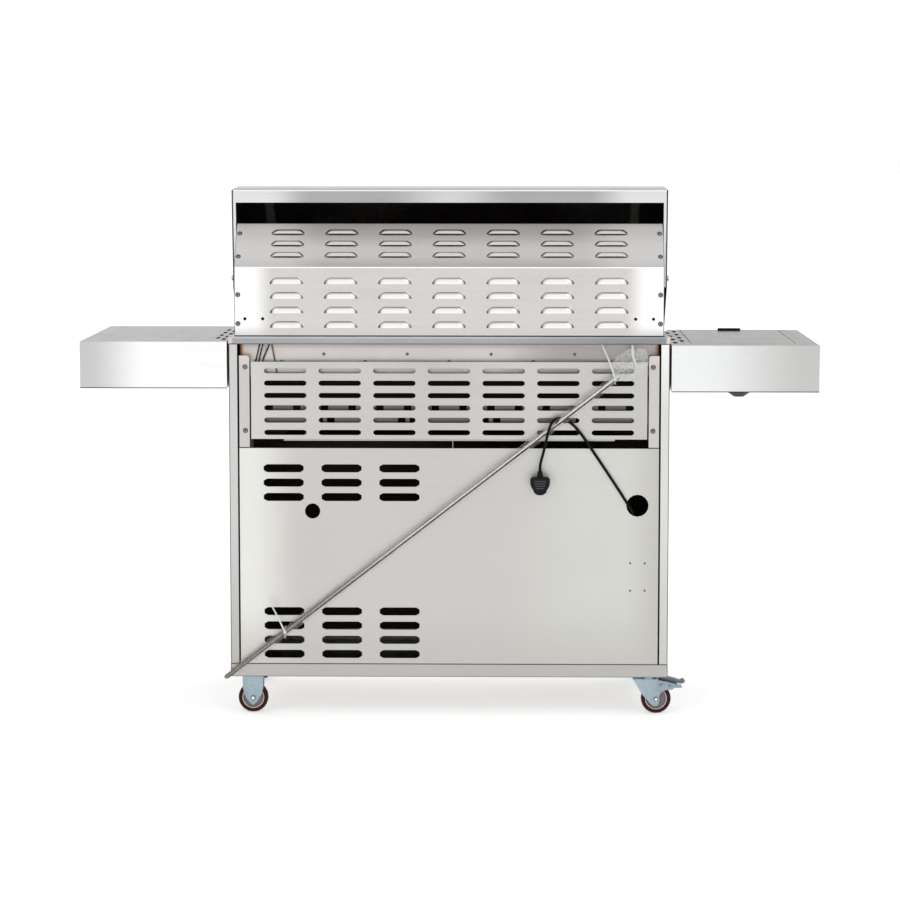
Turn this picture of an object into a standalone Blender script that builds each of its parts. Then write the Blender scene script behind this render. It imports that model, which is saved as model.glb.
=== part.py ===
"""Gas barbecue trolley with a hood, side shelves, casters and a rotisserie spit tied on its back.

Metres, +Z up.  The cook stands on the -Y side and the trolley's back faces +Y.
Left and right are the cook's, so right is +X.  The origin is on the floor under the middle.
"""
import math

import bmesh
import bpy
from mathutils import Matrix, Vector

# ---------------------------------------------------------------- driving dimensions
REAR = 0.286            # y of the trolley's back face; depths are measured from it to the front
BODY_HALF = 0.545       # half of the cabinet's width
BODY_DEPTH = 0.540
SHEET = 0.0015          # sheet metal
GAP = 0.0004            # clearance between fixed pieces that touch on the real object

BASE_BOTTOM = 0.1000
BASE_TOP = 0.1315
RAIL_BOTTOM = 0.9322    # top rail across the back
RAIL_TOP = 0.9519
FRAME_DEPTH = (0.5330, 0.5350)      # face frame around the doors and the grease tray

VENT_ROUND = 4          # segments in a round slot end
HOLE_ROUND = 16         # sides of a round hole

# cabinet back panel: three columns of slots in an upper and a lower field
BACK_HALF = 0.5200
BACK_TOP = 0.6742
BACK_COLUMNS = (0.4105, 0.2667, 0.1229)
BACK_SLOT = (0.102, 0.020)
BACK_ROW_PITCH = 0.0359
BACK_UPPER_ROW = 0.6238
BACK_LOWER_ROW = 0.2650
CORD_HOLE = (-0.4675, 0.5320, 0.0275)       # x, z, radius
GAS_HOLE = (0.3389, 0.5170, 0.0190)

# heat shield behind the firebox
SHIELD_HALF = 0.4905
SHIELD_Z = (0.6965, 0.8885)
SHIELD_PITCH = 0.1352
SHIELD_SLOT = (0.106, 0.0127)
SHIELD_TOP_ROW = 0.8661
SHIELD_ROW_PITCH = 0.03065
SHIELD_DEPTH = 0.0040
BRACKET_X = (0.4940, 0.5195)
BRACKET_Z = (0.6765, 0.9040)

# louvred panels that close the back of the hood
HOOD_HALF = 0.5300
LOUVRE_PITCH = 0.1336
LOUVRE_WIDTH = 0.082
LOUVRE_HEIGHT = 0.0145
LOUVRE_SLOT = 0.0020
LOUVRE_RISE = 0.0048
LOUVRE_ROW_PITCH = 0.0360
LOWER_PANEL_Z = (0.9527, 1.1235)
LOWER_FIRST_ROW = 0.9729
UPPER_RUN = 0.0905      # how far the upper panel leans in
UPPER_RISE = 0.1025
UPPER_FIRST_ROW = 0.0300

# hood lid
LID_HALF = 0.5425
LID_PIVOT = (0.130, 1.090)          # depth, z
LID_REAR = 0.0850
LID_FLANGE_Z = (1.2790, 1.3105)
LID_CREST = (0.270, 1.3165)
LID_FRONT = 0.548
LID_SPRING_Z = 1.090                # where the curved front begins
LID_BOTTOM = 0.9560
LID_WALL = 0.0020
LID_ARC = 8

# control panel and cooking parts
PANEL_Z = (0.7525, 0.9480)
PANEL_FRONT = 0.585
KNOB_Z = 0.850
KNOB_PITCH = 0.1387
KNOB_RADIUS = 0.0235
BURNER_PITCH = 0.2080
BURNER_Z = 0.8860
BURNER_RADIUS = 0.0127
FIREBOX_HALF = 0.520
FIREBOX_DEPTH = (0.030, 0.500)
FIREBOX_Z = (0.7325, 0.944)
AIR_SLOT_Z = (0.7875, 0.8500)       # long opening across the firebox's back wall
AIR_HOLE = 0.0186                   # side of the square holes below it
AIR_HOLE_PITCH = 0.0689
AIR_HOLES = 14
AIR_HOLE_Z = 0.7720
NOTCH_TOP = 0.7520                  # pairs of notches in the wall's lower edge
NOTCH_PAIRS = (0.1035, 0.3090)
NOTCH_STRUT = 0.0105

# side shelves
SHELF_INNER = 0.5495
SHELF_OUTER = 0.9140
SHELF_DEPTH = 0.584
SHELF_HEIGHT = 0.1155
RIGHT_SHELF_TOP = 0.9385
LEFT_SHELF_TOP = 0.9305
# vents in the shelves beside the body: |x|, first depth, pitch, count
RIGHT_VENTS = ((0.5835, 0.1376, 0.0972, 4), (0.5650, 0.0900, 0.0972, 4))
LEFT_VENTS = ((0.5835, 0.1583, 0.1150, 4), (0.5635, 0.0938, 0.1185, 5))
VENT = (0.0560, 0.0100)
SIDE_LID_X = (-0.8610, -0.6025)
SIDE_LID_DEPTH = (0.0785, 0.5550)
SIDE_LID_HEIGHT = 0.012
SIDE_BURNER = (-0.739, 0.300)       # x, depth

# casters: fixed pair on the right, braked swivel pair on the left
WHEEL_RADIUS = 0.0378
WHEEL_SIDES = 24
WHEEL_HALF = 0.0120
AXLE_RADIUS = 0.0040
AXLE_Z = WHEEL_RADIUS * math.cos(math.pi / WHEEL_SIDES)
SWIVEL_DEPTHS = (("rear", 0.060), ("front", 0.508))
FIXED_CASTERS = (("rear", 0.494, 0.060), ("front", 0.512, 0.514))      # end, x, depth
SWIVEL_X = -0.5008
TRAIL = 0.0185
CHEEK = (0.0155, 0.0180)            # inner and outer face of a fork cheek
BRAKE_PIVOT = (-0.0280, 0.0, 0.0903)

# rotisserie spit: a square bar tied diagonally across the back
SPIT_LOW = Vector((0.5594, REAR + 0.0160, 0.0980))
SPIT_HIGH = Vector((-0.4190, REAR + 0.0321, 0.8569))
SPIT_SIDE = 0.0090
SPIT_POINT = 0.007

# power supply lead
CORD_DIAMETER = 0.0070
CORD_STEP = 0.0165
SUPPLY_X = -0.4685
SUPPLY_Z = (0.3033, 0.4033)
SUPPLY_DEPTH = (0.0025, 0.0425)
GLAND_HEIGHT = 0.020
CORD_START_Z = SUPPLY_Z[1] + GLAND_HEIGHT + GAP
PLUG_X = -0.2255
PLUG_Y = REAR + 0.0380
PLUG_TOP = 0.6230                   # top of the plug's strain relief

# the cord's route, gland to plug: up inside the cabinet, out of the round hole,
# behind the spit, over it and down to the plug
CORD_ROUTE = (
    (SUPPLY_X, REAR - 0.0225, CORD_START_Z),
    (SUPPLY_X, REAR - 0.0225, 0.4400),
    (-0.4680, REAR - 0.0215, 0.4620),
    (-0.4640, REAR - 0.0165, 0.4850),
    (-0.4590, REAR - 0.0085, 0.5040),
    (-0.4520, REAR + 0.0000, 0.5215),
    (-0.4390, REAR + 0.0075, 0.5430),
    (-0.4140, REAR + 0.0110, 0.5820),
    (-0.3870, REAR + 0.0110, 0.6230),
    (-0.3580, REAR + 0.0110, 0.6660),
    (-0.3400, REAR + 0.0110, 0.6930),
    (-0.3190, REAR + 0.0110, 0.7210),
    (-0.2990, REAR + 0.0130, 0.7405),
    (-0.2810, REAR + 0.0190, 0.7505),
    (-0.2650, REAR + 0.0295, 0.7515),
    (-0.2525, REAR + 0.0395, 0.7390),
    (-0.2445, REAR + 0.0435, 0.7170),
    (-0.2385, REAR + 0.0430, 0.6900),
    (-0.2325, REAR + 0.0405, 0.6650),
    (-0.2270, REAR + 0.0384, 0.6440),
    (PLUG_X, PLUG_Y, PLUG_TOP + 0.0110),
    (PLUG_X, PLUG_Y, PLUG_TOP + GAP),
)


def at_depth(depth):
    """The y of a point that lies this far in front of the back face."""
    return REAR - depth


# ---------------------------------------------------------------- materials
def make_material(name, colour, roughness, metallic):
    material = bpy.data.materials.new(name)
    material.use_nodes = True
    shader = material.node_tree.nodes["Principled BSDF"]
    shader.inputs["Base Color"].default_value = (*colour, 1.0)
    shader.inputs["Roughness"].default_value = roughness
    shader.inputs["Metallic"].default_value = metallic
    material.diffuse_color = (*colour, 1.0)
    return material


FINISHES = {
    "stainless": ((0.72, 0.71, 0.69), 0.32, 1.0),
    "zinc": ((0.60, 0.66, 0.72), 0.35, 1.0),
    "cast_iron": ((0.05, 0.05, 0.05), 0.65, 0.6),
    "ceramic": ((0.62, 0.55, 0.45), 0.80, 0.0),
    "maroon_tyre": ((0.22, 0.03, 0.03), 0.45, 0.0),
    "black_plastic": ((0.015, 0.016, 0.020), 0.40, 0.0),
    "grey_plastic": ((0.12, 0.12, 0.13), 0.50, 0.0),
    "nylon": ((0.85, 0.86, 0.86), 0.35, 0.0),
    "dial": ((0.80, 0.80, 0.78), 0.30, 0.0),
}


# ---------------------------------------------------------------- modelling tools
def add_object(name, bm, finish, origin=(0.0, 0.0, 0.0), round_piece=False):
    """Close the mesh, give it its material and put its origin where it turns or slides."""
    bmesh.ops.remove_doubles(bm, verts=bm.verts, dist=1e-6)
    bmesh.ops.recalc_face_normals(bm, faces=bm.faces)
    bmesh.ops.translate(bm, verts=bm.verts, vec=-Vector(origin))
    mesh = bpy.data.meshes.new(name)
    bm.to_mesh(mesh)
    bm.free()
    if round_piece:
        mesh.shade_smooth()
        mesh.set_sharp_from_angle(angle=math.radians(35))
    obj = bpy.data.objects.new(name, mesh)
    obj.location = origin
    mesh.materials.append(make_material(name + "_finish", *FINISHES[finish]))
    bpy.context.scene.collection.objects.link(obj)
    return obj


def add_operand(target, bm, operation):
    """Join a solid to the target, or cut it away, with a Boolean modifier."""
    index = len(target.modifiers)
    helper = add_object(f"{target.name}_{operation.lower()}_{index}", bm, "stainless")
    helper.hide_render = True
    helper.display_type = "WIRE"
    modifier = target.modifiers.new(f"{operation.lower()}_{index}", "BOOLEAN")
    modifier.operation = operation
    modifier.object = helper


def block(low, high):
    """A box between two corners."""
    bm = bmesh.new()
    size = Vector(high) - Vector(low)
    middle = (Vector(high) + Vector(low)) / 2
    bmesh.ops.create_cube(bm, size=1.0, matrix=Matrix.Translation(middle) @ Matrix.Diagonal((*size, 1.0)))
    return bm


def on_plane(axis, u, v, w):
    """The point at u, v on the plane that the axis stands on, w along the axis."""
    return {"X": (w, u, v), "Y": (u, w, v), "Z": (u, v, w)}[axis]


def plate(axis, low, high, outline, holes=()):
    """A flat outline with holes in it, extruded along an axis from low to high."""
    bm = bmesh.new()
    edges = []
    for loop in (outline, *holes):
        verts = [bm.verts.new(on_plane(axis, u, v, low)) for u, v in loop]
        edges += [bm.edges.new((verts[i - 1], verts[i])) for i in range(len(verts))]
    bmesh.ops.triangle_fill(bm, edges=edges, use_beauty=True)
    grown = bmesh.ops.extrude_face_region(bm, geom=bm.faces[:])
    moved = [item for item in grown["geom"] if isinstance(item, bmesh.types.BMVert)]
    bmesh.ops.translate(bm, verts=moved, vec=on_plane(axis, 0.0, 0.0, high - low))
    return bm


def rectangle(low_u, high_u, low_v, high_v):
    return [(low_u, low_v), (high_u, low_v), (high_u, high_v), (low_u, high_v)]


def circle(u, v, radius, sides=HOLE_ROUND):
    turn = 2 * math.pi / sides
    return [(u + radius * math.cos(i * turn), v + radius * math.sin(i * turn)) for i in range(sides)]


def slot(u, v, length, height):
    """A level slot with round ends."""
    radius = height / 2
    reach = length / 2 - radius
    points = []
    for side, start in ((1, -math.pi / 2), (-1, math.pi / 2)):
        for i in range(VENT_ROUND):
            angle = start + math.pi * i / (VENT_ROUND - 1)
            points.append((u + side * reach + radius * math.cos(angle), v + radius * math.sin(angle)))
    return points


def pan(low, high, wall, open_side):
    """A thin-walled box that is open on one side: +Z, -Z or +Y."""
    bm = block(low, high)
    normal = Vector({"+Z": (0, 0, 1), "-Z": (0, 0, -1), "+Y": (0, 1, 0)}[open_side])
    bmesh.ops.recalc_face_normals(bm, faces=bm.faces)
    mouth = [face for face in bm.faces if face.normal.dot(normal) > 0.9]
    depth = abs((Vector(high) - Vector(low)).dot(normal)) - wall
    bmesh.ops.inset_region(bm, faces=mouth, thickness=wall, use_even_offset=True)
    moved = bmesh.ops.extrude_face_region(bm, geom=mouth)
    bmesh.ops.delete(bm, geom=mouth, context="FACES_ONLY")
    verts = [item for item in moved["geom"] if isinstance(item, bmesh.types.BMVert)]
    bmesh.ops.translate(bm, verts=verts, vec=-normal * depth)
    return bm


def joined(pieces):
    """One mesh that holds several separate closed shapes."""
    whole = bmesh.new()
    for piece in pieces:
        mesh = bpy.data.meshes.new("piece")
        piece.to_mesh(mesh)
        piece.free()
        whole.from_mesh(mesh)
        bpy.data.meshes.remove(mesh)
    return whole


def turned(profile, sides, matrix):
    """A profile of (radius, height) points turned about the matrix's z axis.

    The first side is turned by half a step, so a wheel stands on a flat."""
    bm = bmesh.new()
    start = Matrix.Rotation(math.pi / sides, 4, "Z")
    verts = [bm.verts.new(start @ Vector((radius, 0.0, height))) for radius, height in profile]
    edges = [bm.edges.new(pair) for pair in zip(verts, verts[1:])]
    if profile[0][0] > 0:
        edges.append(bm.edges.new((verts[-1], verts[0])))
    bmesh.ops.spin(bm, geom=verts + edges, cent=(0, 0, 0), axis=(0, 0, 1),
                   angle=2 * math.pi, steps=sides, use_merge=True)
    bmesh.ops.remove_doubles(bm, verts=bm.verts, dist=1e-6)
    bmesh.ops.transform(bm, verts=bm.verts, matrix=matrix)
    return bm


def towards(direction, place):
    """A matrix that puts local z along a direction at a place."""
    turn = Vector(direction).to_track_quat("Z", "Y").to_matrix().to_4x4()
    return Matrix.Translation(place) @ turn


def rod(start, end, radius, sides):
    """A round bar with flat ends."""
    run = Vector(end) - Vector(start)
    profile = ((0.0, 0.0), (radius, 0.0), (radius, run.length), (0.0, run.length))
    return turned(profile, sides, towards(run, start))


def capped_tube(start, end, radius, sides):
    """A tube that is closed at its start and open at its end."""
    run = Vector(end) - Vector(start)
    bore = radius - SHEET
    outside = ((0.0, 0.0), (radius, 0.0), (radius, run.length))
    inside = ((bore, run.length), (bore, SHEET), (0.0, SHEET))
    return turned(outside + inside, sides, towards(run, start))


def bent_bar(name, points, radius, finish, origin):
    """A round bar along a path, with filled ends."""
    curve = bpy.data.curves.new(name, "CURVE")
    curve.dimensions = "3D"
    curve.bevel_depth = radius
    curve.bevel_resolution = 2
    curve.render_resolution_u = 0
    curve.use_fill_caps = True
    spline = curve.splines.new("POLY")
    spline.points.add(len(points) - 1)
    for point, place in zip(spline.points, points):
        point.co = (*(Vector(place) - Vector(origin)), 1.0)
    curve.materials.append(make_material(name + "_finish", *FINISHES[finish]))
    obj = bpy.data.objects.new(name, curve)
    obj.location = origin
    bpy.context.scene.collection.objects.link(obj)
    return obj


def hang_on(child, parent):
    """Parent a piece to the one that carries it, without moving it."""
    child.parent = parent
    child.matrix_parent_inverse = Matrix.Translation(parent.location).inverted()


# ---------------------------------------------------------------- cabinet
def base_tray():
    low = (-BODY_HALF - 0.0005, at_depth(BODY_DEPTH), BASE_BOTTOM)
    high = (BODY_HALF + 0.0005, REAR, BASE_TOP)
    add_object("base_tray", pan(low, high, 0.002, "+Z"), "stainless")


def side_panels():
    """A sheet on each side, with a return flange at the back and one at the front."""
    rear_flange = BODY_HALF - 0.0210
    front_flange = BODY_HALF - 0.0150
    front = at_depth(FRAME_DEPTH[0]) + GAP
    for side, name in ((-1, "left"), (1, "right")):
        outline = [
            (side * BODY_HALF, REAR),
            (side * rear_flange, REAR),
            (side * rear_flange, REAR - SHEET),
            (side * (BODY_HALF - SHEET), REAR - SHEET),
            (side * (BODY_HALF - SHEET), front + SHEET),
            (side * front_flange, front + SHEET),
            (side * front_flange, front),
            (side * BODY_HALF, front),
        ]
        bm = plate("Z", BASE_TOP + GAP, RAIL_BOTTOM - GAP, outline)
        add_object("side_panel_" + name, bm, "stainless")


def cabinet_back_panel():
    rows = [BACK_UPPER_ROW - i * BACK_ROW_PITCH for i in range(3)]
    rows += [BACK_LOWER_ROW - i * BACK_ROW_PITCH for i in range(4)]
    holes = [slot(x, z, *BACK_SLOT) for x in BACK_COLUMNS for z in rows]
    holes += [circle(*CORD_HOLE), circle(*GAS_HOLE)]
    outline = rectangle(-BACK_HALF, BACK_HALF, BASE_TOP + GAP, BACK_TOP)
    bm = plate("Y", REAR - GAP - SHEET, REAR - GAP, outline, holes)
    add_object("cabinet_back_panel", bm, "stainless")


def door_frame():
    outline = rectangle(-BODY_HALF, BODY_HALF, BASE_TOP + GAP, PANEL_Z[0] - GAP)
    door_opening = rectangle(-0.495, 0.495, 0.165, 0.655)
    tray_opening = rectangle(-0.425, 0.425, 0.676, 0.742)
    bm = plate("Y", at_depth(FRAME_DEPTH[1]), at_depth(FRAME_DEPTH[0]), outline, [door_opening, tray_opening])
    add_object("door_frame", bm, "stainless")


def rear_rail():
    """The channel across the top of the back, open to the front, with its outer edges broken."""
    front, face = at_depth(0.018), REAR + 0.0015
    outline = [
        (front, RAIL_BOTTOM),
        (REAR, RAIL_BOTTOM),
        (face, RAIL_BOTTOM + 0.0020),
        (face, RAIL_TOP - 0.0030),
        (REAR, RAIL_TOP),
        (front, RAIL_TOP),
        (front, RAIL_TOP - SHEET),
        (REAR - SHEET, RAIL_TOP - SHEET),
        (face - SHEET, RAIL_TOP - 0.0038),
        (face - SHEET, RAIL_BOTTOM + 0.0026),
        (REAR - SHEET, RAIL_BOTTOM + SHEET),
        (front, RAIL_BOTTOM + SHEET),
    ]
    add_object("rear_rail", plate("X", -BODY_HALF - 0.0015, BODY_HALF + 0.0015, outline), "stainless")


def heat_shield():
    holes = []
    for column in range(-3, 4):
        for row in range(6):
            holes.append(slot(column * SHIELD_PITCH, SHIELD_TOP_ROW - row * SHIELD_ROW_PITCH, *SHIELD_SLOT))
    outline = rectangle(-SHIELD_HALF, SHIELD_HALF, *SHIELD_Z)
    bm = plate("Y", at_depth(SHIELD_DEPTH + SHEET), at_depth(SHIELD_DEPTH), outline, holes)
    add_object("heat_shield", bm, "stainless")


def shield_brackets():
    """An angle on each side that holds the heat shield, with its top inner corner rounded."""
    inner, outer = BRACKET_X
    low, high = BRACKET_Z
    round_off = 0.0060
    for side, name in ((-1, "left"), (1, "right")):
        outline = [(side * inner, low), (side * outer, low), (side * outer, high)]
        for i in range(4):
            angle = math.pi / 6 * i
            outline.append((side * (inner + round_off - round_off * math.sin(angle)),
                            high - round_off + round_off * math.cos(angle)))
        bm = plate("Y", REAR - SHEET, REAR, outline)
        bracket = add_object("shield_bracket_" + name, bm, "stainless")
        xs = sorted((side * inner, side * (inner + SHEET)))
        flange = block((xs[0], at_depth(0.025), low + SHEET), (xs[1], REAR - SHEET / 2, high - 2 * round_off))
        add_operand(bracket, flange, "UNION")


def power_supply():
    """The low-voltage supply screwed inside the back panel, with a cord gland on top."""
    y_low, y_high = at_depth(SUPPLY_DEPTH[1]), at_depth(SUPPLY_DEPTH[0])
    supply = add_object("power_supply", block((SUPPLY_X - 0.030, y_low, SUPPLY_Z[0]),
                                              (SUPPLY_X + 0.030, y_high, SUPPLY_Z[1])), "grey_plastic")
    middle = (y_low + y_high) / 2
    gland = rod((SUPPLY_X, middle, SUPPLY_Z[1] - 0.004),
                (SUPPLY_X, middle, SUPPLY_Z[1] + GLAND_HEIGHT), 0.0062, 12)
    add_operand(supply, gland, "UNION")


def doors():
    """Two doors on pin hinges at their outer edges, each with a bar handle."""
    y_low, y_high = at_depth(0.555), at_depth(0.537)
    for side, name in ((-1, "left"), (1, "right")):
        pivot = (side * 0.506, (y_low + y_high) / 2, 0.400)
        xs = sorted((side * GAP, side * 0.510))
        bm = pan((xs[0], y_low, 0.1400), (xs[1], y_high, 0.6620), SHEET, "+Y")
        door = add_object("door_" + name, bm, "stainless", pivot)
        x = side * 0.045
        reach = y_low - 0.030
        points = [(x, y_low - GAP, 0.600), (x, reach + 0.008, 0.600), (x, reach, 0.592),
                  (x, reach, 0.378), (x, reach + 0.008, 0.370), (x, y_low - GAP, 0.370)]
        hang_on(bent_bar("door_handle_" + name, points, 0.006, "stainless", pivot), door)


def drip_tray():
    """The grease tray: a long pan under the firebox, with a front panel."""
    low = (-0.411, at_depth(0.538), 0.6905)
    high = (0.411, at_depth(0.020), 0.7020)
    tray = add_object("drip_tray", pan(low, high, SHEET, "+Z"), "stainless", (0.0, at_depth(0.538), 0.705))
    front = block((-0.4300, at_depth(0.5400), 0.6720), (0.4300, at_depth(0.5370), 0.7450))
    add_operand(tray, front, "UNION")


# ---------------------------------------------------------------- firebox and hood
def firebox():
    """Four walls; the back one has a long air slot, a row of square holes and notches below."""
    half, (rear, front) = FIREBOX_HALF, FIREBOX_DEPTH
    outline = rectangle(-half, half, at_depth(front), at_depth(rear))
    hollow = rectangle(-half + SHEET, half - SHEET, at_depth(front - SHEET), at_depth(rear + SHEET))
    box = add_object("firebox", plate("Z", *FIREBOX_Z, outline, [hollow]), "stainless")
    y_low, y_high = at_depth(rear + 2 * SHEET), at_depth(rear - SHEET)
    cuts = [block((-half + 0.020, y_low, AIR_SLOT_Z[0]), (half - 0.020, y_high, AIR_SLOT_Z[1]))]
    reach = AIR_HOLE / 2
    for i in range(AIR_HOLES):
        x = (i - (AIR_HOLES - 1) / 2) * AIR_HOLE_PITCH
        cuts.append(block((x - reach, y_low, AIR_HOLE_Z - reach), (x + reach, y_high, AIR_HOLE_Z + reach)))
    for pair in NOTCH_PAIRS:
        for side in (-1, 1):
            for step in (-1, 1):
                x = side * pair + step * (AIR_HOLE + NOTCH_STRUT) / 2
                cuts.append(block((x - reach, y_low, FIREBOX_Z[0] - SHEET), (x + reach, y_high, NOTCH_TOP)))
    add_operand(box, joined(cuts), "DIFFERENCE")


def burners():
    """Five tube burners, and the gas manifold across the front."""
    for i in range(5):
        x = (i - 2) * BURNER_PITCH
        bm = capped_tube((x, at_depth(0.036), BURNER_Z), (x, at_depth(0.480), BURNER_Z), BURNER_RADIUS, 12)
        add_object(f"burner_{i + 1}", bm, "stainless", round_piece=True)
    pipe = capped_tube((-0.470, at_depth(0.546), 0.800), (0.470, at_depth(0.546), 0.800), 0.011, 8)
    add_object("gas_manifold", pipe, "stainless", round_piece=True)


def cooking_grates():
    """Two cast grates, side by side, with bars that run front to back."""
    bars = 12
    length = (at_depth(0.485), at_depth(0.045))
    for side, name in ((-1, "left"), (1, "right")):
        outline = rectangle(*sorted((side * 0.002, side * 0.516)), at_depth(0.496), at_depth(0.034))
        pitch = 0.492 / bars
        starts = [0.013 + i * pitch for i in range(bars)]
        gaps = [rectangle(*sorted((side * (x + 0.008), side * (x + pitch - 0.004))), *length) for x in starts]
        add_object("cooking_grate_" + name, plate("Z", 0.926, 0.938, outline, gaps), "cast_iron")


def hood_frame():
    """The fixed part of the hood: two side plates joined by an inner back wall."""
    rear, front = 0.0018, 0.512
    ledge = 0.1415
    outline = [
        (at_depth(rear), LOWER_PANEL_Z[0]),
        (at_depth(rear), LOWER_PANEL_Z[1]),
        (at_depth(rear + UPPER_RUN), LOWER_PANEL_Z[1] + UPPER_RISE),
        (at_depth(ledge), LOWER_PANEL_Z[1] + UPPER_RISE),
        (at_depth(ledge), 1.120),
        (at_depth(0.490), 1.000),
        (at_depth(front), 1.000),
        (at_depth(front), LOWER_PANEL_Z[0]),
    ]
    frame = add_object("hood_frame", plate("X", HOOD_HALF - SHEET, HOOD_HALF, outline), "stainless")
    add_operand(frame, plate("X", -HOOD_HALF, SHEET - HOOD_HALF, outline), "UNION")
    wall = rectangle(0.0005 - HOOD_HALF, HOOD_HALF - 0.0005, LOWER_PANEL_Z[0] + 0.001, 1.2250)
    window = rectangle(-0.300, 0.300, 1.035, 1.155)
    bm = plate("Y", at_depth(ledge - 0.0005), at_depth(ledge - 0.002), wall, [window])
    add_operand(frame, bm, "UNION")


def rear_burner():
    """The infrared burner behind the window in the hood's inner back wall: casing and raised face."""
    wall = at_depth(0.1395)
    bm = pan((-0.320, wall + GAP, 1.020), (0.320, at_depth(0.105), 1.170), 0.002, "+Y")
    burner = add_object("rear_burner", bm, "ceramic")
    face = block((-0.290, at_depth(0.1450), 1.045), (0.290, wall + 0.0015, 1.145))
    add_operand(burner, face, "UNION")


def louvred_sheet(half, height, first_row, rows):
    """A sheet in the local x-z plane, facing +y, with seven columns of down-facing louvres.

    Each louvre is a lip that rises from the sheet over a slot."""
    xs = [-half]
    for column in range(-3, 4):
        xs += [column * LOUVRE_PITCH - LOUVRE_WIDTH / 2, column * LOUVRE_PITCH + LOUVRE_WIDTH / 2]
    xs.append(half)
    zs = [0.0]
    for row in range(rows):
        lip = first_row + row * LOUVRE_ROW_PITCH
        zs += [lip - LOUVRE_SLOT, lip, lip + LOUVRE_HEIGHT]
    zs.append(height)
    bm = bmesh.new()
    grid = [[bm.verts.new((x, 0.0, z)) for z in zs] for x in xs]
    hoods = []
    for i in range(len(xs) - 1):
        for j in range(len(zs) - 1):
            in_column = i % 2 == 1
            if in_column and j % 3 == 1:
                continue
            bm.faces.new((grid[i][j], grid[i + 1][j], grid[i + 1][j + 1], grid[i][j + 1]))
            if in_column and j % 3 == 2:
                hoods.append((xs[i], zs[j]))
    grown = bmesh.ops.extrude_face_region(bm, geom=bm.faces[:])
    outer_faces = [item for item in grown["geom"] if isinstance(item, bmesh.types.BMFace)]
    outer_verts = [item for item in grown["geom"] if isinstance(item, bmesh.types.BMVert)]
    bmesh.ops.translate(bm, verts=outer_verts, vec=(0.0, SHEET, 0.0))

    def low_corner(face):
        return min(v.co.x for v in face.verts), min(v.co.z for v in face.verts)

    lips = [face for face in outer_faces
            if any((Vector(low_corner(face)) - Vector(hood)).length < 1e-5 for hood in hoods)]
    raised = bmesh.ops.extrude_discrete_faces(bm, faces=lips)
    for face in raised["faces"]:
        bottom = min(v.co.z for v in face.verts)
        low_verts = [v for v in face.verts if v.co.z < bottom + 1e-5]
        bmesh.ops.translate(bm, verts=low_verts, vec=(0.0, LOUVRE_RISE, 0.0))
    return bm


def louvred_panels():
    height = LOWER_PANEL_Z[1] - LOWER_PANEL_Z[0]
    bm = louvred_sheet(HOOD_HALF, height, LOWER_FIRST_ROW - LOWER_PANEL_Z[0], 4)
    bmesh.ops.translate(bm, verts=bm.verts, vec=(0.0, REAR - SHEET, LOWER_PANEL_Z[0]))
    add_object("rear_louvre_panel", bm, "stainless")
    bm = louvred_sheet(HOOD_HALF, math.hypot(UPPER_RUN, UPPER_RISE), UPPER_FIRST_ROW, 3)
    upper = add_object("upper_louvre_panel", bm, "stainless")
    upper.location = (0.0, REAR - 0.0010, LOWER_PANEL_Z[1] + GAP)
    upper.rotation_euler = (math.atan2(UPPER_RUN, UPPER_RISE), 0.0, 0.0)


def lid_curve(inset):
    """The lid's curved front and top, from the front's straight part to the crest, (y, z)."""
    crest_depth, crest_z = LID_CREST
    reach = LID_FRONT - crest_depth - inset
    rise = crest_z - LID_SPRING_Z - inset
    points = []
    for i in range(LID_ARC + 1):
        angle = math.pi / 2 * i / LID_ARC
        depth = crest_depth + reach * math.cos(angle)
        points.append((at_depth(depth), LID_SPRING_Z + rise * math.sin(angle)))
    return points


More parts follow.
